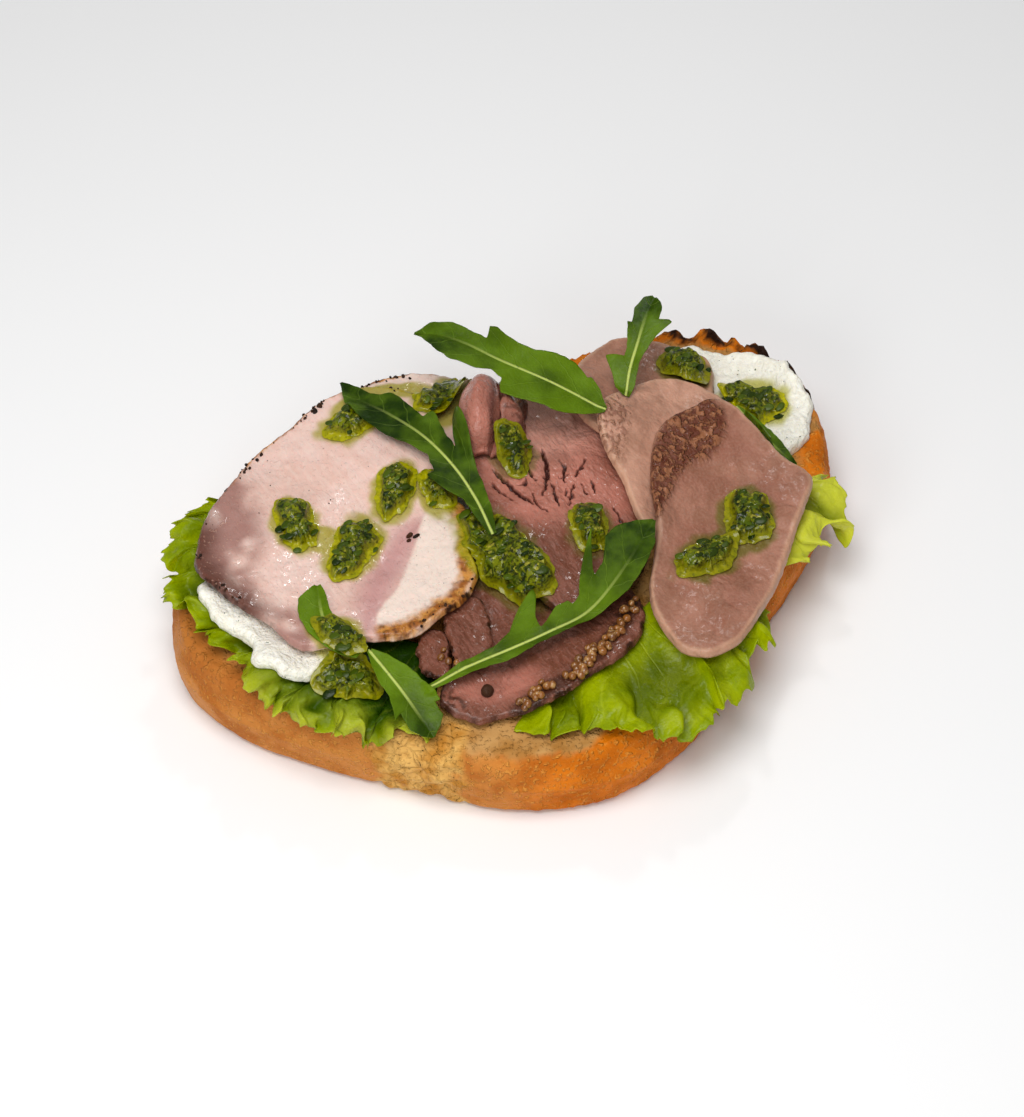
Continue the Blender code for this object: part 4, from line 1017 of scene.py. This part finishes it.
def tongue_masks(name, plan, inset):
    """Where a tongue slice has its pale rim, rough skin and mauve middle, and its painted light."""
    wander = lumps(plan, 5, 5, detail=2)
    rim = ease(inset + 0.5 * wander, 2.2, 0.7)
    rough = np.zeros(len(plan))
    if name == "tongue_slice_front":
        patch = [(67, 17), (60, 16), (52, 14), (44, 9), (37, 2), (31, -8), (30, -14), (34, -12), (38.6, -8.7),
                 (43.4, -4.4), (49, -2), (57, -1.9), (62, 1.1), (67, 7)]
        rough = blob(patch, plan + 1.2 * wander[:, None], 1.6) * (0.9 + 0.2 * lumps(plan, 3, 11, detail=2))
    elif name == "tongue_slice_middle":
        patch = [(31, 21), (33, 28), (44, 30), (44, 22), (38, 15), (31, 10)]
        rough = 0.5 * blob(patch, plan + wander[:, None], 2)
        rough *= ease(lumps(plan, 1.2, 4, detail=2), -0.1, 0.3)
    mauve = ease(inset, 2, 12) * ease(lumps(plan, 13, 7, detail=2), -0.5, 0.3)
    # Painted light: each slice is made paler as a whole, most of all the middle one.
    light = {"tongue_slice_front": 0, "tongue_slice_middle": 0.75, "tongue_slice_back": 0.2}[name]
    mottled = 0.8 + 0.2 * lumps(plan, 4, 8, detail=2)
    return {"rim": rim * (1 - rough), "rough": rough, "mauve": mauve, "light": light * mottled}


MEATS = {
    # material, masks, slot
    "pork": (roast_pork, pork_masks, "pork"),
    "beef": (roast_beef, beef_masks, "beef"),
    "beef_grain": (roast_beef, beef_masks, "beef"),
    "tongue": (boiled_tongue, tongue_masks, "tongue"),
}


def cut_face(plan, masks):
    """Relief of the cut face of a slice, in mm: rough skin stands up, and splits go in."""
    wavy = 0.45 * lumps(plan, 12, 3) + 0.18 * lumps(plan, 3.5, 4, detail=2) + 0.07 * lumps(plan, 1.2, 5)
    if "rough" in masks:
        return wavy + masks["rough"] * (0.5 + 0.55 * lumps(plan, 1.3, 6, detail=2))
    if "roast" in masks:
        return wavy + (masks["roast"] * 0.3 * lumps(plan, 1.7, 6, detail=2) + 0.25 * masks["fat"])
    grain = 0.14 * lumps(plan * (1, 0.45), 1.3, 6, detail=2) * (0.3 + masks["pink"])
    return wavy + (grain - 1.3 * masks["crack"])


def meat_slice(name, colors, sizes):
    """Slice of meat: its underside rests on the pile, and its cut rim is rounded and uneven."""
    outline, kind, thickness, evenness, curl, ragged = SLICES[name]
    fine = kind == "beef_grain"
    small = name.startswith("beef_end")
    around, rings = (460, 110) if fine else (160, 30) if small else (420, 70)
    mesh, radius, turn, level = disc(around, rings, walls=5, under=8)
    loop = smooth_loop(outline, 480)
    middle, edge, reach, heading = spokes(loop, turn)
    rest = PILE.rest(loop, evenness)
    uneven = ragged * (0.5 * lumps(edge, 5, 1, detail=2) + 0.4 * lumps(edge, 1.5, 2, detail=2))
    inset = (1 - radius) * reach
    swell = 0.35 * np.sin(math.pi * level) * (radius > ON_WALL)
    plan = middle + heading * ((reach + uneven) * radius + swell)[:, None]
    curl_x, curl_y, curl_reach, curl_height = curl
    stand = curl_height * bell(np.hypot(plan[:, 0] - curl_x, plan[:, 1] - curl_y), 0, curl_reach)
    under = sample(rest, plan) + stand
    full = np.sqrt(1 - (1 - np.clip(inset / 1.3, 0, 1)) ** 2)
    make, find_masks, slot = MEATS[kind]
    masks = find_masks(name, plan, inset)
    half = thickness * (0.42 + 0.58 * full) / 2
    z = under + thickness / 2 + (level * 2 - 1) * half
    z += np.where(level > 0.99, cut_face(plan, masks) * sizes.relief * (0.3 + 0.7 * full), 0)
    points = np.column_stack([plan, z])
    PILE.add(name, points)
    masks["oil"] = oil_stain(plan) * (level > 0.5)
    finish_piece(name.replace("_slice", ""), mesh, points, make(colors), slot, [name], **masks)


def beef_fold(colors, sizes):
    """Slice pushed together into two upright folds."""
    mesh, u, v, level = slab(110, 200)
    ridge = smooth_path(FOLD_RIDGE, 60)
    section = smooth_path(FOLD_SECTION, 120)
    rest = PILE.rest(smooth_loop(FOLD_FOOT), 60)
    ahead = at_part(ridge, np.minimum(u + 0.02, 1)) - at_part(ridge, np.maximum(u - 0.02, 0))
    ahead /= np.linalg.norm(ahead, axis=1)[:, None]
    across = np.column_stack([ahead[:, 1], -ahead[:, 0]])
    swell = 0.55 + 0.45 * np.sin(math.pi * (0.12 + 0.8 * u))
    folded = at_part(section, v)
    laid_flat = np.column_stack([u * 30, v * 40])
    second = ease(v, 0.5, 0.62)
    bend = (1.0 + 1.6 * second) * lumps(laid_flat, 7, 1)
    tip = np.sqrt(1 - np.abs(2 * np.clip(u, 0.01, 0.99) - 1) ** 3.5)
    narrow = (0.1 + 0.9 * swell) * (0.45 + 0.55 * tip)
    plan = at_part(ridge, u) + across * ((folded[:, 0] + bend) * narrow)[:, None]
    rumpled = (0.6 + 1.0 * second) * lumps(laid_flat, 5, 2)
    z = sample(rest, plan) + folded[:, 1] * swell * tip * (1 - 0.3 * second * ease(u, 0.5, 0.1)) + rumpled
    grain = lumps(laid_flat, 1.8, 3, detail=2)
    z += level * (3.2 * (0.35 + 0.65 * tip) + 0.15 * grain * sizes.relief)
    points = np.column_stack([plan, z])
    PILE.add("beef_fold", points)
    # Painted shade darkens the crease between the two folds.
    finish_piece("beef_fold_upper", mesh, points, roast_beef(colors), "beef", ["beef_fold"],
                 pink=0.9 - 0.5 * second, pale=0.05, crack=0.75 * bell(v, 0.49, 0.04),
                 spice=0.6 * second * ease(grain + 1.2 * ease(v, 0.68, 0.9), 0.3, 0.9))


# ---------------------------------------------------------------- pesto, rocket, seeds

def pesto_dollop(name, colors, sizes):
    """Soft mound of chopped leaves standing in a thin pool of its own oil."""
    number = list(PESTO).index(name)
    middle_at, half_length, half_width, heading_deg, height = PESTO[name]
    small = half_length * half_width < 25
    mesh, radius, turn, level = disc(132 if small else 200, 34 if small else 48, walls=3, under=4, crowd=1.1)
    loop = evenly(oval(middle_at, half_length + 0.9, half_width + 0.9, heading_deg), 240, closed=True)
    middle, edge, reach, heading = spokes(loop, turn)
    uneven = reach * 0.34 * lumps(edge, 8, number, detail=2) + 0.7 * lumps(edge, 2.2, number + 9, detail=2)
    plan = middle + heading * ((reach + uneven) * radius)[:, None]
    under = sample(PILE.rest(loop, 8), plan)
    inset = (1 - radius) * (reach + uneven)
    pool = OIL_DEPTH * ease(inset, -0.4, 2.2)
    paste = ease(inset + 1.6 * lumps(plan, 4, number + 20, detail=2), 1.1, 3.0)
    dome = np.sqrt(np.clip(1 - (radius / 0.97) ** 2, 0, 1))
    soft_chunks = 1 - cells(plan, 3.2, number) / 1.9
    fine = lumps(plan, 1.4, number + 40, detail=2)
    top = pool + paste * (height * 0.75 * dome * (1 + 0.4 * lumps(plan, 6, number + 60))
                          + (0.75 * soft_chunks + 0.16 * fine) * sizes.relief)
    z = under + level * np.maximum(top, 0.06)
    points = np.column_stack([plan, z])
    ground = PILE.uppermost(*middle_at)
    bright = 0.9 if ground.startswith("soft_cheese") else 0.45 if ground.startswith("pork") else 0
    PILE.add(name, points)
    finish_piece(name.replace("dollop_", ""), mesh, points, herb_pesto(colors), "pesto", [name],
                 paste=paste, bright=bright)


def rocket_piece(name, colors):
    """Lobed leaf on a midrib, resting where it touches the pile."""
    midrib, left, right, depth = ROCKET_LEAVES[name]
    along, across = 260, 40
    mesh, u, v, level = slab(along, across)
    rib = smooth_path(midrib, 200)
    length = np.linalg.norm(np.diff(rib, axis=0), axis=1).sum()
    side = 2 * v - 1
    ahead = (at_part(rib, np.minimum(u + 0.03, 1)) - at_part(rib, np.maximum(u - 0.03, 0)))[:, :2]
    ahead /= np.linalg.norm(ahead, axis=1)[:, None]
    aside = np.column_stack([-ahead[:, 1], ahead[:, 0]])
    width, lean = (np.where(side > 0, profile(left, u, k), profile(right, u, k)) for k in (1, 2))
    width = width + 0.1 * np.minimum(width, 3) * lumps(np.column_stack([u * length, side]), 2.5, 3, detail=2)
    off = side * width
    centre = at_part(rib, u)
    plan = centre[:, :2] + aside * off[:, None] + ahead * (lean * side ** 2)[:, None]
    curl = 0.12 * width * np.abs(side) ** 1.5 + 0.9 * lumps(plan, 9, 3) * np.abs(side)
    curl = curl - 0.35 * bell(off, 0, 0.8)
    z = centre[:, 2] + curl
    clear = sample(PILE.floor(), plan) + 0.1
    row, column = np.round(u * along).astype(int), np.round(v * across).astype(int)
    lift = np.zeros((along + 1, across + 1))
    np.maximum.at(lift, (row, column), np.maximum(clear - z, 0))
    need = lift.copy()
    for _ in range(14):
        padded = np.pad(lift, 1, mode="edge")
        lift = (padded[:-2, 1:-1] + padded[2:, 1:-1] + padded[1:-1, :-2] + padded[1:-1, 2:]) / 4
        lift = np.maximum(lift, need)
    z += lift[row, column] + level * ROCKET_THICK * (0.5 + 0.7 * bell(off, 0, 0.7) * (1 - u))
    points = np.column_stack([plan, z])
    PILE.add(name, points)
    dark = np.clip(depth + ease(lumps(plan, 11, 4), -0.1, 0.5) * 0.4 + (0.3 + depth) * ease(u, 0.6, 0.85), 0, 1)
    finish_piece(name.replace("_leaf", ""), mesh, points, rocket_leaf(colors), "rocket", [name],
                 along=u * length, across=off, dark=dark, fade=1 - ease(u, 0.35, 0.9))


class Scatter:
    """Many small things joined in one mesh, each a roughened ball squashed to its size."""

    def __init__(self, seed):
        self.bm = bmesh.new()
        self.random = np.random.default_rng(seed)
        self.tints = []

    def put(self, x, y, size, squash=(1, 1, 1), sink=0.25, tilt=3.1, faces=2, height=None):
        """Add one thing of `size` mm at a place, on top of the pile."""
        if height is None:
            height = sample(PILE.top, np.array([[x, y]]))[0]
        z = height + size * (0.5 - sink) * squash[2]
        turn = Euler(self.random.uniform(-tilt, tilt, 3) * (0.5, 0.5, 1)).to_matrix().to_4x4()
        place = Matrix.Translation((x, y, z)) @ turn @ Matrix.Diagonal((*squash, 1))
        ball = bmesh.new()
        bmesh.ops.create_icosphere(ball, subdivisions=faces, radius=size / 2, matrix=place)
        self.tints += [self.random.uniform(0, 1)] * len(ball.verts)
        piece = as_mesh(ball)
        self.bm.from_mesh(piece)
        bpy.data.meshes.remove(piece)

    def finish(self, name, material, slot, rough, size=1.0):
        """Make one piece of all that was put down, wrinkled by `rough` mm."""
        mesh = as_mesh(self.bm)
        points = read_points(mesh)
        for axis in range(3):
            points[:, axis] += rough * lumps(points, size, 3 + axis)
        finish_piece(name, mesh, points, material, slot, tint=self.tints)


SEED_RIM = [(-36, -47), (-30, -46), (-23, -46), (-17, -46.5), (-12, -44), (-7, -42.5), (-2, -40), (4, -37),
            (9, -33.5), (12, -31)]


def mustard_seeds(colors, sizes):
    """Mustard seeds along the front rim of the beef, in twos and threes, and a few loose ones."""
    seeds = Scatter(4)
    rim = smooth_path(SEED_RIM, 80)
    diameter = sizes.seed / MM
    for part in np.concatenate([np.linspace(0.02, 0.2, 7), np.linspace(0.32, 0.98, 40)]):
        for _ in range(seeds.random.integers(1, 3)):
            x, y = at_part(rim, [np.clip(part + seeds.random.normal(0, 0.01), 0, 1)])[0]
            x += seeds.random.normal(0, 1.1)
            y += seeds.random.normal(0, 1.1)
            if not PILE.shows("beef_slice_front", x, y):
                continue
            seeds.put(x, y, diameter * seeds.random.uniform(0.8, 1.15), (1, 0.9, 0.85), sink=0.15)
    for x, y in [(-46, -22), (-45, -24.5), (-44, -20), (-43.5, -26.5)]:
        seeds.put(x, y, diameter * seeds.random.uniform(0.7, 1.1), (1, 0.9, 0.85))
    seeds.finish("mustard_seeds", mustard_seed(colors), "mustard_seed", rough=0.06)


# the larger pieces of cracked pepper on the pork: place and size
LARGE_PEPPER = [
    (-32.2, 19.6, 3.1), (-30.6, 18.4, 2.4), (-33.2, 18.2, 1.8), (-47, 40, 0.6), (-46, 41, 0.5), (-66, 47, 0.6),
    (-31.5, 74, 2.6), (-33.5, 73, 2.2), (-54, 68.5, 1.8), (-56, 67.5, 1.6)]


def pepper():
    """One whole peppercorn, cracked pepper on the pork, and crumbs of it in the roast rims."""
    bits = Scatter(9)
    bits.put(-40, -37, 3.8, (1, 1, 0.9), sink=0.25, faces=4)
    for x, y, size in LARGE_PEPPER:
        bits.put(x, y, size, (1, 0.7, 0.4), faces=2)
    for name in ("pork_slice_front", "pork_slice_back"):
        loop = smooth_loop(SLICES[name][0], 360)
        middle = loop.mean(0)
        for _ in range(230 if name == "pork_slice_front" else 110):
            edge = loop[bits.random.integers(len(loop))]
            inward = (middle - edge) / np.linalg.norm(middle - edge)
            x, y = edge + inward * abs(bits.random.normal(0.9, 0.6))
            near = ((x, y), (x + 1, y), (x - 1, y), (x, y + 1), (x, y - 1))
            if not all(PILE.shows(name, *place) for place in near) or noise.noise((x / 7, y / 7, 0)) < -0.12:
                continue
            if y < 14 and (x < -60 or bits.random.uniform() < 0.7):
                continue
            bits.put(x, y, bits.random.uniform(0.5, 1.5), (1, 0.8, 0.6), sink=0.35, faces=2)
    for _ in range(60):
        x, y = bits.random.uniform(-88, -15), bits.random.uniform(-5, 70)
        if PILE.shows("pork_slice_front", x, y):
            bits.put(x, y, bits.random.uniform(0.2, 0.45), (1, 0.8, 0.4), faces=1)
    bits.finish("cracked_pepper", cracked_pepper(), "pepper", rough=0.14, size=0.8)


def herb_flakes():
    """Chopped herbs standing out of the pesto, and specks of them in the cheese."""
    flakes = Scatter(5)
    for name, (middle, half_length, half_width, heading, _) in PESTO.items():
        loop = oval(middle, half_length, half_width, heading)
        for _ in range(int(half_length * half_width * 0.22)):
            edge = loop[flakes.random.integers(len(loop))]
            x, y = np.array(middle) + (edge - middle) * flakes.random.uniform(0, 1) ** 0.6
            if PILE.shows(name, x, y):
                flakes.put(x, y, flakes.random.uniform(1.6, 4.8), (1, 0.65, 0.12), sink=1.0, tilt=0.6, faces=2)
    for _ in range(150):
        x = flakes.random.uniform(-92, -60) if flakes.random.uniform() < 0.4 else flakes.random.uniform(60, 98)
        y = flakes.random.uniform(-8, 48)
        if PILE.shows("soft_cheese_spread", x, y):
            flakes.put(x, y, flakes.random.uniform(0.25, 0.8), (1, 0.6, 0.3), faces=1)
    flakes.finish("chopped_herbs", chopped_herb(), "pesto", rough=0.1, size=1.2)


# ---------------------------------------------------------------- properties

def color_property(name, code, description):
    """Colour that starts from an sRGB hex code."""
    return FloatVectorProperty(name=name, description=description, subtype="COLOR", size=4, min=0, max=1,
                               default=rgb(code))


class SandwichColors(bpy.types.PropertyGroup):
    """Main colour of each kind of piece."""

    crust: color_property("Crust", "#cc8238", "Golden-brown side crust of the bread")
    crumb: color_property("Crumb", "#c8975a", "Cut crumb of the bread")
    cheese: color_property("Cheese", "#fbf7ea", "Soft fresh cheese")
    lettuce: color_property("Lettuce", "#98a600", "Sunlit part of the lettuce")
    rocket: color_property("Rocket", "#5a7600", "Blade of the rocket leaves")
    pork: color_property("Pork", "#e8c6ba", "Pale muscle of the roast pork")
    fat: color_property("Pork fat", "#f0dbcd", "Fat cap of the roast pork")
    beef: color_property("Beef", "#744432", "Outer muscle of the roast beef")
    tongue: color_property("Tongue", "#a97560", "Boiled tongue")
    pesto: color_property("Pesto", "#566404", "Chopped herbs of the pesto")
    oil: color_property("Pesto oil", "#8f8a04", "Oil round the pesto")
    seed: color_property("Mustard seed", "#945a20", "Pickled mustard seeds")


class SandwichSizes(bpy.types.PropertyGroup):
    """How rough and how ruffled the pieces are, and the size of the seeds."""

    relief: FloatProperty(name="Relief", description="How strongly surfaces are roughened", default=1.0,
                          min=0, max=2, subtype="FACTOR")
    ruffle: FloatProperty(name="Ruffle", description="How high the lettuce ruffles", default=1.0,
                          min=0, max=2, subtype="FACTOR")
    seed: FloatProperty(name="Mustard seed", description="Diameter of a mustard seed", default=2.6 * MM,
                        min=0, unit="LENGTH", precision=4)


# ---------------------------------------------------------------- stage

TARGET = Vector((-5.0, 5.9, 20)) * MM
VIEW = (-31, 50)            # azimuth and elevation of the camera
VIEW_DISTANCE = 0.9

STUDIO_LIGHTS = [
    # name, azimuth, elevation, distance, size, power
    ("overhead", -50, 74, 0.8, 0.45, 4.4),
    ("front", -55, 30, 0.9, 0.35, 2.2),
    ("sparkle", 140, 52, 0.9, 0.06, 0.6),
]


def white_floor():
    """Wide pale floor."""
    bm = bmesh.new()
    bmesh.ops.create_grid(bm, x_segments=1, y_segments=1, size=3)
    mesh = as_mesh(bm)
    mat, _, shader, _ = start_material("white_studio_floor", 0.9, Specular_IOR_Level=0.1)
    shader.inputs["Base Color"].default_value = rgb("#fbfbfb")
    mesh.materials.append(mat)
    floor = bpy.data.objects.new("floor", mesh)
    bpy.context.scene.collection.objects.link(floor)


def studio_world():
    """Even white light from all round."""
    world = bpy.data.worlds.new("studio")
    world.use_nodes = True
    background = world.node_tree.nodes["Background"]
    background.inputs["Color"].default_value = rgb("#ffffff")
    background.inputs["Strength"].default_value = 0.24
    return world


def look_from(name, data, azimuth, elevation, distance):
    """Put a light or camera at a distance from the middle of the sandwich, looking at it."""
    a, e = math.radians(azimuth), math.radians(elevation)
    back = Vector((math.sin(a) * math.cos(e), -math.cos(a) * math.cos(e), math.sin(e)))
    ob = bpy.data.objects.new(name, data)
    ob.location = TARGET + back * distance
    ob.rotation_euler = back.to_track_quat("Z", "Y").to_euler()
    bpy.context.scene.collection.objects.link(ob)
    return ob


def soft_light(name, azimuth, elevation, distance, size, power):
    """Square soft box."""
    light = bpy.data.lights.new(name, "AREA")
    light.size = size
    light.energy = power
    look_from(name, light, azimuth, elevation, distance)


def studio_camera():
    """Long lens that looks down on the sandwich from the front left."""
    camera = bpy.data.cameras.new("camera")
    camera.lens = 100
    camera.sensor_width = 36
    return look_from("camera", camera, *VIEW, VIEW_DISTANCE)


# ---------------------------------------------------------------- operators, panel

def chosen(context):
    """The colours and sizes set in the panel."""
    return context.scene.sandwich_colors, context.scene.sandwich_sizes


class SANDWICH_OT_bread(bpy.types.Operator):
    """Build the slice of bread"""

    bl_idname = "sandwich.bread"
    bl_label = "Bread"
    bl_options = {"REGISTER", "UNDO"}

    def execute(self, context):
        bread_slice(*chosen(context))
        return {"FINISHED"}


class SANDWICH_OT_cheese(bpy.types.Operator):
    """Spread the soft cheese"""

    bl_idname = "sandwich.cheese"
    bl_label = "Soft cheese"
    bl_options = {"REGISTER", "UNDO"}

    def execute(self, context):
        cheese_spread(*chosen(context))
        return {"FINISHED"}


class SANDWICH_OT_lettuce(bpy.types.Operator):
    """Lay one lettuce leaf"""

    bl_idname = "sandwich.lettuce"
    bl_label = "Lettuce leaf"
    bl_options = {"REGISTER", "UNDO"}

    piece: StringProperty(name="Leaf", description="Which leaf of the layout", default="lettuce_leaf_left")

    def execute(self, context):
        lettuce_piece(self.piece, *chosen(context))
        return {"FINISHED"}


class SANDWICH_OT_meat(bpy.types.Operator):
    """Lay one slice of meat"""

    bl_idname = "sandwich.meat"
    bl_label = "Meat slice"
    bl_options = {"REGISTER", "UNDO"}

    piece: StringProperty(name="Slice", description="Which slice of the layout", default="pork_slice_front")

    def execute(self, context):
        meat_slice(self.piece, *chosen(context))
        return {"FINISHED"}


class SANDWICH_OT_fold(bpy.types.Operator):
    """Set up the folded slice of beef"""

    bl_idname = "sandwich.fold"
    bl_label = "Beef fold"
    bl_options = {"REGISTER", "UNDO"}

    def execute(self, context):
        beef_fold(*chosen(context))
        return {"FINISHED"}


class SANDWICH_OT_pesto(bpy.types.Operator):
    """Spoon one dollop of pesto"""

    bl_idname = "sandwich.pesto"
    bl_label = "Pesto dollop"
    bl_options = {"REGISTER", "UNDO"}

    piece: StringProperty(name="Dollop", description="Which dollop of the layout", default="pesto_dollop_01")

    def execute(self, context):
        pesto_dollop(self.piece, *chosen(context))
        return {"FINISHED"}


class SANDWICH_OT_rocket(bpy.types.Operator):
    """Lay one rocket leaf"""

    bl_idname = "sandwich.rocket"
    bl_label = "Rocket leaf"
    bl_options = {"REGISTER", "UNDO"}

    piece: StringProperty(name="Leaf", description="Which leaf of the layout", default="rocket_leaf_1")

    def execute(self, context):
        colors, _ = chosen(context)
        rocket_piece(self.piece, colors)
        return {"FINISHED"}


class SANDWICH_OT_scatter(bpy.types.Operator):
    """Scatter the mustard seeds, the pepper and the chopped herbs"""

    bl_idname = "sandwich.scatter"
    bl_label = "Seeds and herbs"
    bl_options = {"REGISTER", "UNDO"}

    def execute(self, context):
        colors, sizes = chosen(context)
        mustard_seeds(colors, sizes)
        pepper()
        herb_flakes()
        return {"FINISHED"}


class SANDWICH_OT_stage(bpy.types.Operator):
    """Set up the floor, the soft studio lights and the camera"""

    bl_idname = "sandwich.stage"
    bl_label = "Stage"
    bl_options = {"REGISTER", "UNDO"}

    def execute(self, context):
        bpy.context.scene.world = studio_world()
        white_floor()
        for light in STUDIO_LIGHTS:
            soft_light(*light)
        bpy.context.scene.camera = studio_camera()
        bpy.context.scene.view_settings.view_transform = "Standard"
        return {"FINISHED"}


OPERATORS = (SANDWICH_OT_bread, SANDWICH_OT_cheese, SANDWICH_OT_lettuce, SANDWICH_OT_meat, SANDWICH_OT_fold,
             SANDWICH_OT_pesto, SANDWICH_OT_rocket, SANDWICH_OT_scatter, SANDWICH_OT_stage)


class SANDWICH_PT_panel(bpy.types.Panel):
    """Panel with the colours, the sizes and one button for each kind of piece"""

    bl_label = "Open sandwich"
    bl_idname = "SANDWICH_PT_panel"
    bl_space_type = "VIEW_3D"
    bl_region_type = "UI"
    bl_category = "Sandwich"

    def draw(self, context):
        layout = self.layout
        for group in (context.scene.sandwich_colors, context.scene.sandwich_sizes):
            for name in group.__annotations__:
                layout.prop(group, name)
        for operator in OPERATORS:
            layout.operator(operator.bl_idname)


CLASSES = (SandwichColors, SandwichSizes, *OPERATORS, SANDWICH_PT_panel)


def register():
    """Make the classes and the settings known to Blender."""
    for cls in CLASSES:
        bpy.utils.register_class(cls)
    bpy.types.Scene.sandwich_colors = PointerProperty(type=SandwichColors)
    bpy.types.Scene.sandwich_sizes = PointerProperty(type=SandwichSizes)


def unregister():
    """Take the settings and the classes away again."""
    del bpy.types.Scene.sandwich_sizes
    del bpy.types.Scene.sandwich_colors
    for cls in reversed(CLASSES):
        bpy.utils.unregister_class(cls)


def main():
    """Build every piece from the bread upwards, then the stage."""
    register()
    bpy.ops.sandwich.bread()
    bpy.ops.sandwich.lettuce(piece="lettuce_leaf_left")
    bpy.ops.sandwich.cheese()
    bpy.ops.sandwich.lettuce(piece="lettuce_leaf_right")
    bpy.ops.sandwich.lettuce(piece="lettuce_leaf_end")
    for name in SLICES:
        bpy.ops.sandwich.meat(piece=name)
        if name == "beef_slice_fan":
            bpy.ops.sandwich.fold()
    *under_leaves, on_leaf = PESTO
    for name in under_leaves:
        bpy.ops.sandwich.pesto(piece=name)
    for name in ROCKET_LEAVES:
        bpy.ops.sandwich.rocket(piece=name)
    bpy.ops.sandwich.pesto(piece=on_leaf)
    bpy.ops.sandwich.scatter()
    bpy.ops.sandwich.stage()


if __name__ == "__main__":
    main()
